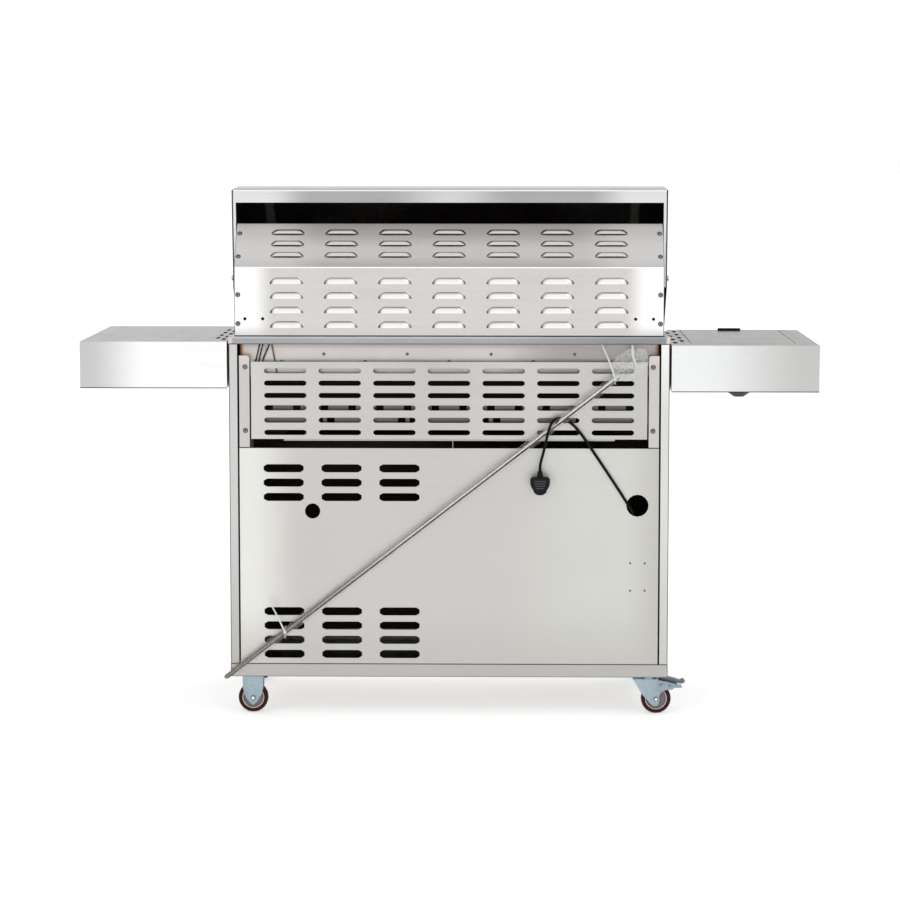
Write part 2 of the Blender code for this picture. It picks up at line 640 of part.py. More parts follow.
def lid():
    """The hood lid: a folded sheet with side plates and narrow flanges down its rear edges."""
    pivot = (0.0, at_depth(LID_PIVOT[0]), LID_PIVOT[1])
    rear_edge = [(0.112, 1.068), (0.108, 1.110), (LID_REAR, LID_FLANGE_Z[0])]
    outline = lid_curve(0.0)
    outline += [(at_depth(LID_REAR), LID_FLANGE_Z[1])]
    outline += [(at_depth(depth), z) for depth, z in reversed(rear_edge)]
    outline += [(at_depth(0.230), LID_BOTTOM), (at_depth(LID_FRONT + 0.006), LID_BOTTOM)]
    shell = add_object("lid_shell", plate("X", -LID_HALF, LID_HALF, outline), "stainless", pivot)
    hollow = lid_curve(LID_WALL)
    hollow += [(at_depth(LID_REAR + LID_WALL), LID_FLANGE_Z[1] - LID_WALL)]
    hollow += [(at_depth(depth + LID_WALL), z) for depth, z in reversed(rear_edge)]
    hollow += [(at_depth(rear_edge[0][0] + LID_WALL), 0.900)]
    hollow += [(at_depth(LID_FRONT + 0.006 - LID_WALL), 0.900)]
    hollow += [(at_depth(LID_FRONT + 0.006 - LID_WALL), LID_BOTTOM)]
    add_operand(shell, plate("X", LID_WALL - LID_HALF, LID_HALF - LID_WALL, hollow), "DIFFERENCE")
    window = block((-0.5320, at_depth(0.150), 0.900), (0.5320, at_depth(0.050), LID_FLANGE_Z[0]))
    add_operand(shell, window, "DIFFERENCE")

    front = at_depth(LID_FRONT + 0.0048)
    bar = at_depth(0.600)
    points = [(-0.400, front - 0.0012, 1.010), (-0.400, bar + 0.012, 1.010), (-0.388, bar, 1.010),
              (0.388, bar, 1.010), (0.400, bar + 0.012, 1.010), (0.400, front - 0.0012, 1.010)]
    hang_on(bent_bar("lid_handle", points, 0.0125, "stainless", pivot), shell)

    lean = math.atan2(0.006, LID_SPRING_Z - LID_BOTTOM)
    outwards = Vector((0.0, -math.cos(lean), math.sin(lean)))
    place = Vector((0.0, at_depth(LID_FRONT + 0.0018), 1.052)) + outwards * 0.0015
    profile = ((0.0, 0.0), (0.034, 0.0), (0.036, 0.004), (0.034, 0.010), (0.0, 0.010))
    gauge = add_object("thermometer", turned(profile, 16, towards(outwards, place)), "dial", pivot, True)
    hang_on(gauge, shell)


def control_panel():
    low = (-BODY_HALF - 0.003, at_depth(PANEL_FRONT), PANEL_Z[0])
    high = (BODY_HALF + 0.003, at_depth(FRAME_DEPTH[0]), PANEL_Z[1])
    add_object("control_panel", pan(low, high, SHEET, "+Y"), "stainless")


def knobs():
    """Seven knobs: the side burner's on the left, five for the grill, the rear burner's on the right."""
    names = ["knob_side_burner"] + [f"knob_{i}" for i in range(1, 6)] + ["knob_rear_burner"]
    skirt, grip = KNOB_RADIUS, KNOB_RADIUS * 0.74
    profile = ((0.0, 0.0), (skirt, 0.0), (skirt, 0.005), (grip, 0.010), (grip * 0.92, 0.026), (0.0, 0.026))
    for i, name in enumerate(names):
        place = ((i - 3) * KNOB_PITCH, at_depth(PANEL_FRONT) - 0.0010, KNOB_Z)
        bm = turned(profile, 12, towards((0, -1, 0), place))
        add_object(name, bm, "black_plastic", place, True)


# ---------------------------------------------------------------- side shelves
def vents(side, columns, top):
    """Cutters for the round-ended vents, which run front to back."""
    cuts = []
    for x, first, pitch, count in columns:
        for i in range(count):
            outline = [(side * (x + across), at_depth(first + i * pitch + along))
                       for along, across in slot(0.0, 0.0, *VENT)]
            cuts.append(plate("Z", top - 2 * SHEET, top + SHEET, outline))
    return joined(cuts)


def side_shelves():
    low = (SHELF_INNER, at_depth(SHELF_DEPTH), RIGHT_SHELF_TOP - SHELF_HEIGHT)
    bm = pan(low, (SHELF_OUTER, REAR, RIGHT_SHELF_TOP), SHEET, "-Z")
    shelf = add_object("side_shelf_right", bm, "stainless")
    add_operand(shelf, vents(1, RIGHT_VENTS, RIGHT_SHELF_TOP), "DIFFERENCE")
    low = (-SHELF_OUTER, at_depth(SHELF_DEPTH), LEFT_SHELF_TOP - SHELF_HEIGHT)
    bm = pan(low, (-SHELF_INNER, REAR, LEFT_SHELF_TOP), SHEET, "-Z")
    shelf = add_object("side_shelf_left", bm, "stainless")
    opening = block((SIDE_LID_X[0] - 0.0015, at_depth(SIDE_LID_DEPTH[1] + 0.0015), LEFT_SHELF_TOP - 0.010),
                    (SIDE_LID_X[1] + 0.0015, at_depth(SIDE_LID_DEPTH[0] - 0.0015), LEFT_SHELF_TOP + 0.010))
    add_operand(shelf, opening, "DIFFERENCE")
    add_operand(shelf, vents(-1, LEFT_VENTS, LEFT_SHELF_TOP), "DIFFERENCE")


def side_burner():
    """A drip bowl with the burner head in its middle, and the flush lid over it."""
    x, depth = SIDE_BURNER
    profile = ((0.0, 0.778), (0.013, 0.778), (0.105, 0.842), (0.105, 0.9035), (0.122, 0.9035), (0.122, 0.905),
               (0.1035, 0.905), (0.1035, 0.844), (0.040, 0.7995), (0.014, 0.792), (0.014, 0.856),
               (0.042, 0.860), (0.042, 0.872), (0.0, 0.872))
    bm = turned(profile, 16, Matrix.Translation((x, at_depth(depth), 0.0)))
    add_object("side_burner", bm, "cast_iron", round_piece=True)
    pivot = ((SIDE_LID_X[0] + SIDE_LID_X[1]) / 2, at_depth(SIDE_LID_DEPTH[0]), LEFT_SHELF_TOP)
    low = (SIDE_LID_X[0], at_depth(SIDE_LID_DEPTH[1]), LEFT_SHELF_TOP - SIDE_LID_HEIGHT)
    high = (SIDE_LID_X[1], at_depth(SIDE_LID_DEPTH[0]), LEFT_SHELF_TOP)
    add_object("side_burner_lid", pan(low, high, SHEET, "-Z"), "stainless", pivot)


# ---------------------------------------------------------------- casters
def wheel(name, place):
    """A tyre on a dished hub; the place puts it on its axle, which runs along local y."""
    profile = ((AXLE_RADIUS + 0.0004, -WHEEL_HALF), (0.0200, -WHEEL_HALF), (0.0255, 0.0025 - WHEEL_HALF),
               (0.0345, 0.0005 - WHEEL_HALF), (WHEEL_RADIUS, 0.0040 - WHEEL_HALF),
               (WHEEL_RADIUS, WHEEL_HALF - 0.0040), (0.0345, WHEEL_HALF - 0.0005),
               (0.0255, WHEEL_HALF - 0.0025), (0.0200, WHEEL_HALF), (AXLE_RADIUS + 0.0004, WHEEL_HALF))
    bm = turned(profile, WHEEL_SIDES, place @ Matrix.Rotation(math.pi / 2, 4, "X"))
    add_object(name, bm, "maroon_tyre", place.translation, True)


def fork(name, cheek, roof, axle_u, place):
    """Two cheeks under a roof plate, with the axle between them; outlines are (u, z) about the place."""
    def put(bm):
        bmesh.ops.transform(bm, matrix=place, verts=bm.verts)
        return bm

    half = CHEEK[1] + 0.0020
    body = add_object(name, put(block((roof[0], -half, roof[2]), (roof[1], half, roof[3]))),
                      "zinc", place.translation)
    for low, high in ((CHEEK[0], CHEEK[1]), (-CHEEK[1], -CHEEK[0])):
        add_operand(body, put(plate("Y", low, high, cheek)), "UNION")
    axle = rod((axle_u, -half, AXLE_Z), (axle_u, half, AXLE_Z), AXLE_RADIUS, 12)
    add_operand(body, put(axle), "UNION")
    return body, put


def fixed_casters():
    """Fork and wheel of each right-hand caster: a broad bracket that narrows round the axle."""
    top = BASE_BOTTOM - GAP
    right = [(0.0260, 0.066), (0.0222, 0.047), (0.0165, 0.0365), (0.0090, 0.0262), (0.0025, 0.0200)]
    cheek = [(0.0260, top - 0.001)] + right + [(-u, z) for u, z in reversed(right)] + [(-0.0260, top - 0.001)]
    for end, x, depth in FIXED_CASTERS:
        place = Matrix.Translation((x, at_depth(depth), 0.0))
        fork("fixed_fork_" + end, cheek, (-0.0280, 0.0280, top - 0.003, top), 0.0, place)
        wheel("fixed_wheel_" + end, place @ Matrix.Translation((0.0, 0.0, AXLE_Z)))


def swivel_casters():
    """Plate, swivelling fork, wheel and brake pedal of each left-hand caster.

    The rear one trails outwards and the front one towards the cook."""
    top = BASE_BOTTOM - GAP
    roof_top = 0.0885
    cheek = [(0.0392, roof_top - 0.0010), (0.0176, 0.0502), (-0.0042, 0.0258), (-0.0129, 0.0190),
             (-0.0230, 0.0206), (-0.0268, 0.0328), (-0.0268, 0.0467), (-0.0340, 0.0565), (-0.0459, 0.0610),
             (-0.0590, 0.0610), (-0.0640, 0.0660), (-0.0731, 0.0690), (-0.0731, 0.0738), (-0.0607, 0.0777),
             (-0.0433, 0.0820), (-0.0235, 0.0856), (-0.0235, roof_top - 0.0010)]
    pedal = [(-0.0260, 0.0885), (-0.0260, 0.0925), (-0.0440, 0.0925), (-0.0560, 0.0905), (-0.0706, 0.0864),
             (-0.0790, 0.0835), (-0.0850, 0.0870), (-0.0895, 0.0860), (-0.0915, 0.0810), (-0.0870, 0.0762),
             (-0.0770, 0.0762), (-0.0620, 0.0820), (-0.0430, 0.0852), (-0.0360, 0.0885)]
    for (end, depth), turn in zip(SWIVEL_DEPTHS, (0.0, math.pi / 2)):
        y = at_depth(depth)
        bm = block((SWIVEL_X - 0.0413, y - 0.0300, top - 0.0035), (SWIVEL_X + 0.0413, y + 0.0300, top))
        add_object("caster_plate_" + end, bm, "zinc")
        place = Matrix.Translation((SWIVEL_X, y, 0.0)) @ Matrix.Rotation(turn, 4, "Z")
        roof = (-0.0240, 0.0400, roof_top - 0.0025, roof_top)
        body, put = fork("swivel_fork_" + end, cheek, roof, -TRAIL, place)
        race = rod((0.0, 0.0, roof_top - 0.0010), (0.0, 0.0, top - 0.0040), 0.0190, 16)
        add_operand(body, put(race), "UNION")
        tongue = block((-0.0830, -CHEEK[1] - 0.0010, 0.0665), (-0.0560, CHEEK[1] + 0.0010, 0.0695))
        add_operand(body, put(tongue), "UNION")
        wheel("swivel_wheel_" + end, place @ Matrix.Translation((-TRAIL, 0.0, AXLE_Z)))
        bm = put(plate("Y", -0.0115, 0.0115, pedal))
        add_object("brake_pedal_" + end, bm, "grey_plastic", place @ Vector(BRAKE_PIVOT))


# ---------------------------------------------------------------- spit and its ties
def spit_rod():
    """A square bar with one pointed end; an edge faces back, so its faces lean up and down."""
    along = (SPIT_HIGH - SPIT_LOW).normalized()
    back = (Vector((0, 1, 0)) - along * along.y).normalized()
    across = along.cross(back)
    corner = SPIT_SIDE / math.sqrt(2)
    bm = bmesh.new()
    rings = []
    for distance, reach in ((0.0, 0.0034), (SPIT_POINT, corner), ((SPIT_HIGH - SPIT_LOW).length, corner)):
        middle = SPIT_LOW + along * distance
        offsets = (back, across, -back, -across)
        rings.append([bm.verts.new(middle + offset * reach) for offset in offsets])
    for lower, upper in zip(rings, rings[1:]):
        for i in range(4):
            bm.faces.new((lower[i - 1], lower[i], upper[i], upper[i - 1]))
    bm.faces.new(rings[0])
    bm.faces.new(rings[-1])
    add_object("spit_rod", bm, "stainless", SPIT_LOW)


def cable_ties():
    """Each tie loops round the spit and a web between two slots of the panel behind it."""
    strap, thick = 0.0045, 0.0014
    for name, x, inside, z_low, z_high in (("lower", 0.4075, 0.0045, 0.2022, 0.2265),
                                           ("upper", -0.4090, 0.0078, 0.8385, 0.8608)):
        share = (x - SPIT_LOW.x) / (SPIT_HIGH.x - SPIT_LOW.x)
        reach = SPIT_LOW.lerp(SPIT_HIGH, share).y + SPIT_SIDE / math.sqrt(2) + 0.0008
        hollow = rectangle(at_depth(inside), reach, z_low, z_high)
        outline = rectangle(at_depth(inside + thick), reach + thick, z_low - thick, z_high + thick)
        bm = plate("X", x - strap / 2, x + strap / 2, outline, [hollow])
        add_object("cable_tie_" + name, bm, "nylon")


# ---------------------------------------------------------------- power lead
def smooth_route(points, steps=24):
    """Points on a Catmull-Rom curve through the route, closely spaced."""
    ends = [points[0] * 2 - points[1]] + points + [points[-1] * 2 - points[-2]]
    dense = []
    for a, b, c, d in zip(ends, ends[1:], ends[2:], ends[3:]):
        for i in range(steps):
            t = i / steps
            dense.append(0.5 * (2 * b + (c - a) * t + (2 * a - 5 * b + 4 * c - d) * t ** 2
                                + (3 * b - a - 3 * c + d) * t ** 3))
    dense.append(points[-1])
    return dense


def evenly(dense, step):
    """Points at equal distances along a dense line, both ends kept."""
    length = sum((b - a).length for a, b in zip(dense, dense[1:]))
    count = round(length / step)
    spaced, travelled, wanted = [dense[0]], 0.0, length / count
    for a, b in zip(dense, dense[1:]):
        run = (b - a).length
        while travelled + run >= wanted - 1e-9 and len(spaced) < count:
            spaced.append(a.lerp(b, (wanted - travelled) / run))
            wanted += length / count
        travelled += run
    spaced.append(dense[-1])
    return spaced


def power_cord():
    route = smooth_route([Vector(point) for point in CORD_ROUTE])
    bent_bar("power_cord", evenly(route, CORD_STEP), CORD_DIAMETER / 2, "black_plastic", (0.0, 0.0, 0.0))


def mains_plug():
    """A three-pin plug that hangs with its pins towards the panel."""
    y_low, y_high = PLUG_Y - 0.012, PLUG_Y + 0.012
    half, bottom, shoulder = 0.0245, PLUG_TOP - 0.060, PLUG_TOP - 0.022
    outline = []
    for i in range(9):
        angle = math.pi + math.pi * i / 8
        outline.append((PLUG_X + half * math.cos(angle), bottom + 0.017 + 0.017 * math.sin(angle)))
    outline += [(PLUG_X + half, shoulder - 0.006), (PLUG_X + half - 0.008, shoulder),
                (PLUG_X - half + 0.008, shoulder), (PLUG_X - half, shoulder - 0.006)]
    plug = add_object("mains_plug", plate("Y", y_low, y_high, outline), "black_plastic")
    relief = turned(((0.0, 0.0), (0.0075, 0.0), (0.0048, 0.0260), (0.0, 0.0260)), 12,
                    Matrix.Translation((PLUG_X, PLUG_Y, PLUG_TOP - 0.0260)))
    add_operand(plug, relief, "UNION")
    pins = ((0.0, 0.008, 0.0040, 0.0085, 0.0225), (-0.0111, 0.030, 0.0064, 0.0040, 0.0177),
            (0.0111, 0.030, 0.0064, 0.0040, 0.0177))
    for x, z, width, height, length in pins:
        low = (PLUG_X + x - width / 2, y_low - length, bottom + z - height / 2)
        high = (PLUG_X + x + width / 2, y_low + 0.002, bottom + z + height / 2)
        add_operand(plug, block(low, high), "UNION")


def main():
    for obj in list(bpy.data.objects):
        bpy.data.objects.remove(obj, do_unlink=True)
    base_tray()
    side_panels()
    cabinet_back_panel()
    door_frame()
    rear_rail()
    heat_shield()
    shield_brackets()
    power_supply()
    doors()
    drip_tray()
    firebox()
    burners()
    cooking_grates()
    hood_frame()
    rear_burner()
    louvred_panels()
    lid()
    control_panel()
    knobs()
    side_shelves()
    side_burner()
    fixed_casters()
    swivel_casters()
    spit_rod()
    cable_ties()
    power_cord()
    mains_plug()


main()
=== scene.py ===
"""The looks of the barbecue trolley and its tied-on spit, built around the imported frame."""
import math
import random

import bmesh
import bpy
from mathutils import Matrix, Vector, noise


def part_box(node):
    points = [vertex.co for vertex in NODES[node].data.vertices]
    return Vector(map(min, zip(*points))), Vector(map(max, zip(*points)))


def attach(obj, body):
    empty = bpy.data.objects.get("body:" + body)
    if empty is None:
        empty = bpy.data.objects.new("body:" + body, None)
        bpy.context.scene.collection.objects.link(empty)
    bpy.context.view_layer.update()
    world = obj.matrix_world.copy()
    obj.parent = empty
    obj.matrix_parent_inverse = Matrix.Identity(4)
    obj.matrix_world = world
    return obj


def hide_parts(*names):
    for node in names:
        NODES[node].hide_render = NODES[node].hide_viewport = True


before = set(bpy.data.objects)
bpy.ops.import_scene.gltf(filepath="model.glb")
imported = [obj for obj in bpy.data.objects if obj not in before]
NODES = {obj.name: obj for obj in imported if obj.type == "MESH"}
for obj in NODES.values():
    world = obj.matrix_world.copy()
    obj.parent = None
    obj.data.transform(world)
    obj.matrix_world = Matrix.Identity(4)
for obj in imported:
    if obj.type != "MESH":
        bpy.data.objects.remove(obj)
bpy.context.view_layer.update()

BACK = 0.286                # y of the trolley's back face


# ---------------- camera
def make_camera():
    """Behind the trolley, a little above its top and almost square to it."""
    data = bpy.data.cameras.new("camera")
    data.lens = 119.0
    data.sensor_width = 36.0
    camera = bpy.data.objects.new("camera", data)
    bpy.context.scene.collection.objects.link(camera)
    forward = Vector((0.0181, -0.9942, -0.1067))
    camera.location = (-0.136, 7.614, 1.4566)
    camera.rotation_euler = forward.to_track_quat("-Z", "Y").to_euler()
    bpy.context.scene.camera = camera


make_camera()
bpy.context.scene.view_settings.view_transform = "Standard"


# ---------------- materials
class Nodes:
    """Short ways to add nodes to a tree."""

    def __init__(self, tree):
        self.tree = tree

    def plug(self, value, socket):
        """A number or colour set on a socket, or another node's output linked to it."""
        if isinstance(value, bpy.types.NodeSocket):
            self.tree.links.new(value, socket)
        else:
            socket.default_value = value

    def add(self, kind, **inputs):
        node = self.tree.nodes.new(kind)
        for key, value in inputs.items():
            self.plug(value, node.inputs[key])
        return node

    def math(self, operation, a, b=0.0):
        node = self.add("ShaderNodeMath")
        node.operation = operation
        self.plug(a, node.inputs[0])
        self.plug(b, node.inputs[1])
        return node.outputs[0]

    def span(self, value, start, end, low=0.0, high=1.0, smooth=False):
        """The value's start to end mapped onto low to high."""
        node = self.add("ShaderNodeMapRange", Value=value)
        node.interpolation_type = "SMOOTHSTEP" if smooth else "LINEAR"
        for key, number in zip(("From Min", "From Max", "To Min", "To Max"), (start, end, low, high)):
            node.inputs[key].default_value = number
        return node.outputs["Result"]


class Shader(Nodes):
    """A Principled material whose colour, roughness and bump come from noise in object space."""

    def __init__(self, name, roughness=0.4, metallic=0.0, **single):
        self.material = bpy.data.materials.new(name)
        self.material.use_nodes = True
        super().__init__(self.material.node_tree)
        self.bsdf = self.tree.nodes["Principled BSDF"]
        self.bsdf.inputs["Metallic"].default_value = metallic
        self.bsdf.inputs["Roughness"].default_value = roughness
        for key, value in single.items():
            self.bsdf.inputs[key.replace("_", " ").title().replace("Ior", "IOR")].default_value = value
        self.place = self.add("ShaderNodeTexCoord").outputs["Object"]

    def link(self, output, name):
        self.tree.links.new(output, self.bsdf.inputs[name])

    def noise(self, scale, detail=3.0, rough=0.5, distortion=0.0):
        """Noise with its own scale along each axis, or one for all."""
        if isinstance(scale, (int, float)):
            scale = (scale, scale, scale)
        spread = self.add("ShaderNodeMapping", Vector=self.place, Scale=scale)
        node = self.add("ShaderNodeTexNoise", Vector=spread.outputs["Vector"], Scale=1.0, Detail=detail,
                        Roughness=rough, Distortion=distortion)
        return node.outputs["Fac"]

    def total(self, *terms):
        """The sum of (output - 0.5) times its weight, around 0.5."""
        result = 0.5
        for output, weight in terms:
            part = self.math("MULTIPLY", self.math("SUBTRACT", output, 0.5), weight)
            result = self.math("ADD", part, result)
        return result

    def ramp(self, factor, *stops):
        node = self.add("ShaderNodeValToRGB", Fac=factor)
        elements = node.color_ramp.elements
        while len(elements) < len(stops):
            elements.new(0.5)
        for element, (position, colour) in zip(elements, stops):
            element.position = position
            element.color = (*colour, 1.0) if len(colour) == 3 else colour
        return node.outputs["Color"]

    def spread(self, factor, low, high):
        """The factor's 0.2 to 0.8 mapped onto low to high."""
        return self.span(factor, 0.2, 0.8, low, high)

    def along(self, axis):
        """One object coordinate: as it is where its letter follows a +, or its size."""
        place = self.add("ShaderNodeSeparateXYZ", Vector=self.place).outputs[axis[-1]]
        return place if axis[0] == "+" else self.math("ABSOLUTE", place)

    def fade(self, tint, axis, start, end, colour, share=1.0):
        """The tint turning to another colour between two values of one object coordinate, or of its size."""
        return self.blend(tint, colour, self.span(self.along(axis), start, end, 0.0, share, smooth=True))

    def facing(self, direction, least=0.6, most=0.9):
        """1 on the faces that point along the direction, 0 on the others."""
        dot = self.add("ShaderNodeVectorMath")
        dot.operation = "DOT_PRODUCT"
        self.plug(self.add("ShaderNodeTexCoord").outputs["Normal"], dot.inputs[0])
        self.plug(direction, dot.inputs[1])
        return self.span(dot.outputs["Value"], least, most)

    def seam(self, tint, axis, start, end, colour):
        """A painted shade line along the edge of a sheet, on its rear face only."""
        line = self.math("MULTIPLY", self.span(self.along(axis), start, end), self.facing((0.0, 1.0, 0.0)))
        return self.blend(tint, colour, line)

    def blend(self, tint, colour, factor):
        node = self.tree.nodes.new("ShaderNodeMix")
        node.data_type = "RGBA"
        self.tree.links.new(factor, node.inputs["Factor"])
        self.tree.links.new(tint, node.inputs["A"])
        node.inputs["B"].default_value = (*colour, 1.0)
        return node.outputs["Result"]

    def bump(self, height, strength, distance):
        node = self.add("ShaderNodeBump", Height=height, Strength=strength, Distance=distance)
        self.link(node.outputs["Normal"], "Normal")


def mix(a, b, share):
    return tuple(x + (y - x) * share for x, y in zip(a, b))


def brushed(name, colour, grain="X", rough=(0.26, 0.42), depth=0.05, blotch=0.1, stain=None, fades=(),
            metallic=1.0, facing_shades=(), edge_shades=()):
    """Brushed stainless: fine grain along one axis, broader streaks, and slow changes of tone, with painted
    light and shade on top: fades along object coordinates (painted light and shade, and the firebox's heat
    tint), facing shades on faces by their direction and edge shades along sheet edges.
    """
    fine, broad = [620.0] * 3, [70.0] * 3
    axis = "XYZ".index(grain)
    fine[axis], broad[axis] = 5.0, 1.3
    shader = Shader(name, metallic=metallic)
    lines = shader.noise(fine, 2.0, 0.6)
    streaks = shader.noise(broad, 3.0, 0.55)
    slow = shader.noise(2.3, 2.0, 0.5)
    smears = shader.noise(14.0, 4.0, 0.6, 0.4)
    tone = shader.total((lines, 0.55), (streaks, 0.55), (slow, blotch * 6), (smears, 0.25))
    low = mix(colour, (0.0, 0.0, 0.0), depth * 1.6)
    high = mix(colour, (1.0, 1.0, 1.0), depth)
    tint = shader.ramp(tone, (0.15, low), (0.5, colour), (0.85, high))
    if stain:
        tint = shader.blend(tint, stain[0], shader.spread(smears, 0.0, stain[1]))
    for fade in fades:
        tint = shader.fade(tint, *fade)
    # painted shade: faces turned one way take a darker or lighter colour
    for direction, shade, *limits in facing_shades:
        tint = shader.blend(tint, shade, shader.facing(direction, *limits))
    for seam in edge_shades:
        tint = shader.seam(tint, *seam)
    shader.link(tint, "Base Color")
    gloss = shader.total((lines, 0.7), (streaks, 0.5), (smears, 0.5))
    shader.link(shader.spread(gloss, *rough), "Roughness")
    shader.bump(lines, 0.22, 0.0002)
    return shader.material


def plain(name, colour, rough=(0.35, 0.5), metallic=0.0, fleck=0.06, grain=420.0, bump=0.15, **single):
    """Moulded plastic, rubber or plated metal: slow tone, fine mottling and a light texture."""
    shader = Shader(name, metallic=metallic, **single)
    mottle = shader.noise(grain, 3.0, 0.6)
    slow = shader.noise(9.0, 3.0, 0.5, 0.3)
    scuffs = shader.noise(60.0, 5.0, 0.7, 1.0)
    tone = shader.total((mottle, 0.5), (slow, 0.8), (scuffs, 0.6))
    low = mix(colour, (0.0, 0.0, 0.0), fleck * 2)
    high = mix(colour, (1.0, 1.0, 1.0), fleck)
    shader.link(shader.ramp(tone, (0.2, low), (0.5, colour), (0.85, high)), "Base Color")
    shader.link(shader.spread(shader.total((mottle, 0.4), (scuffs, 0.9)), *rough), "Roughness")
    shader.bump(mottle, bump, 0.0004)
    return shader.material


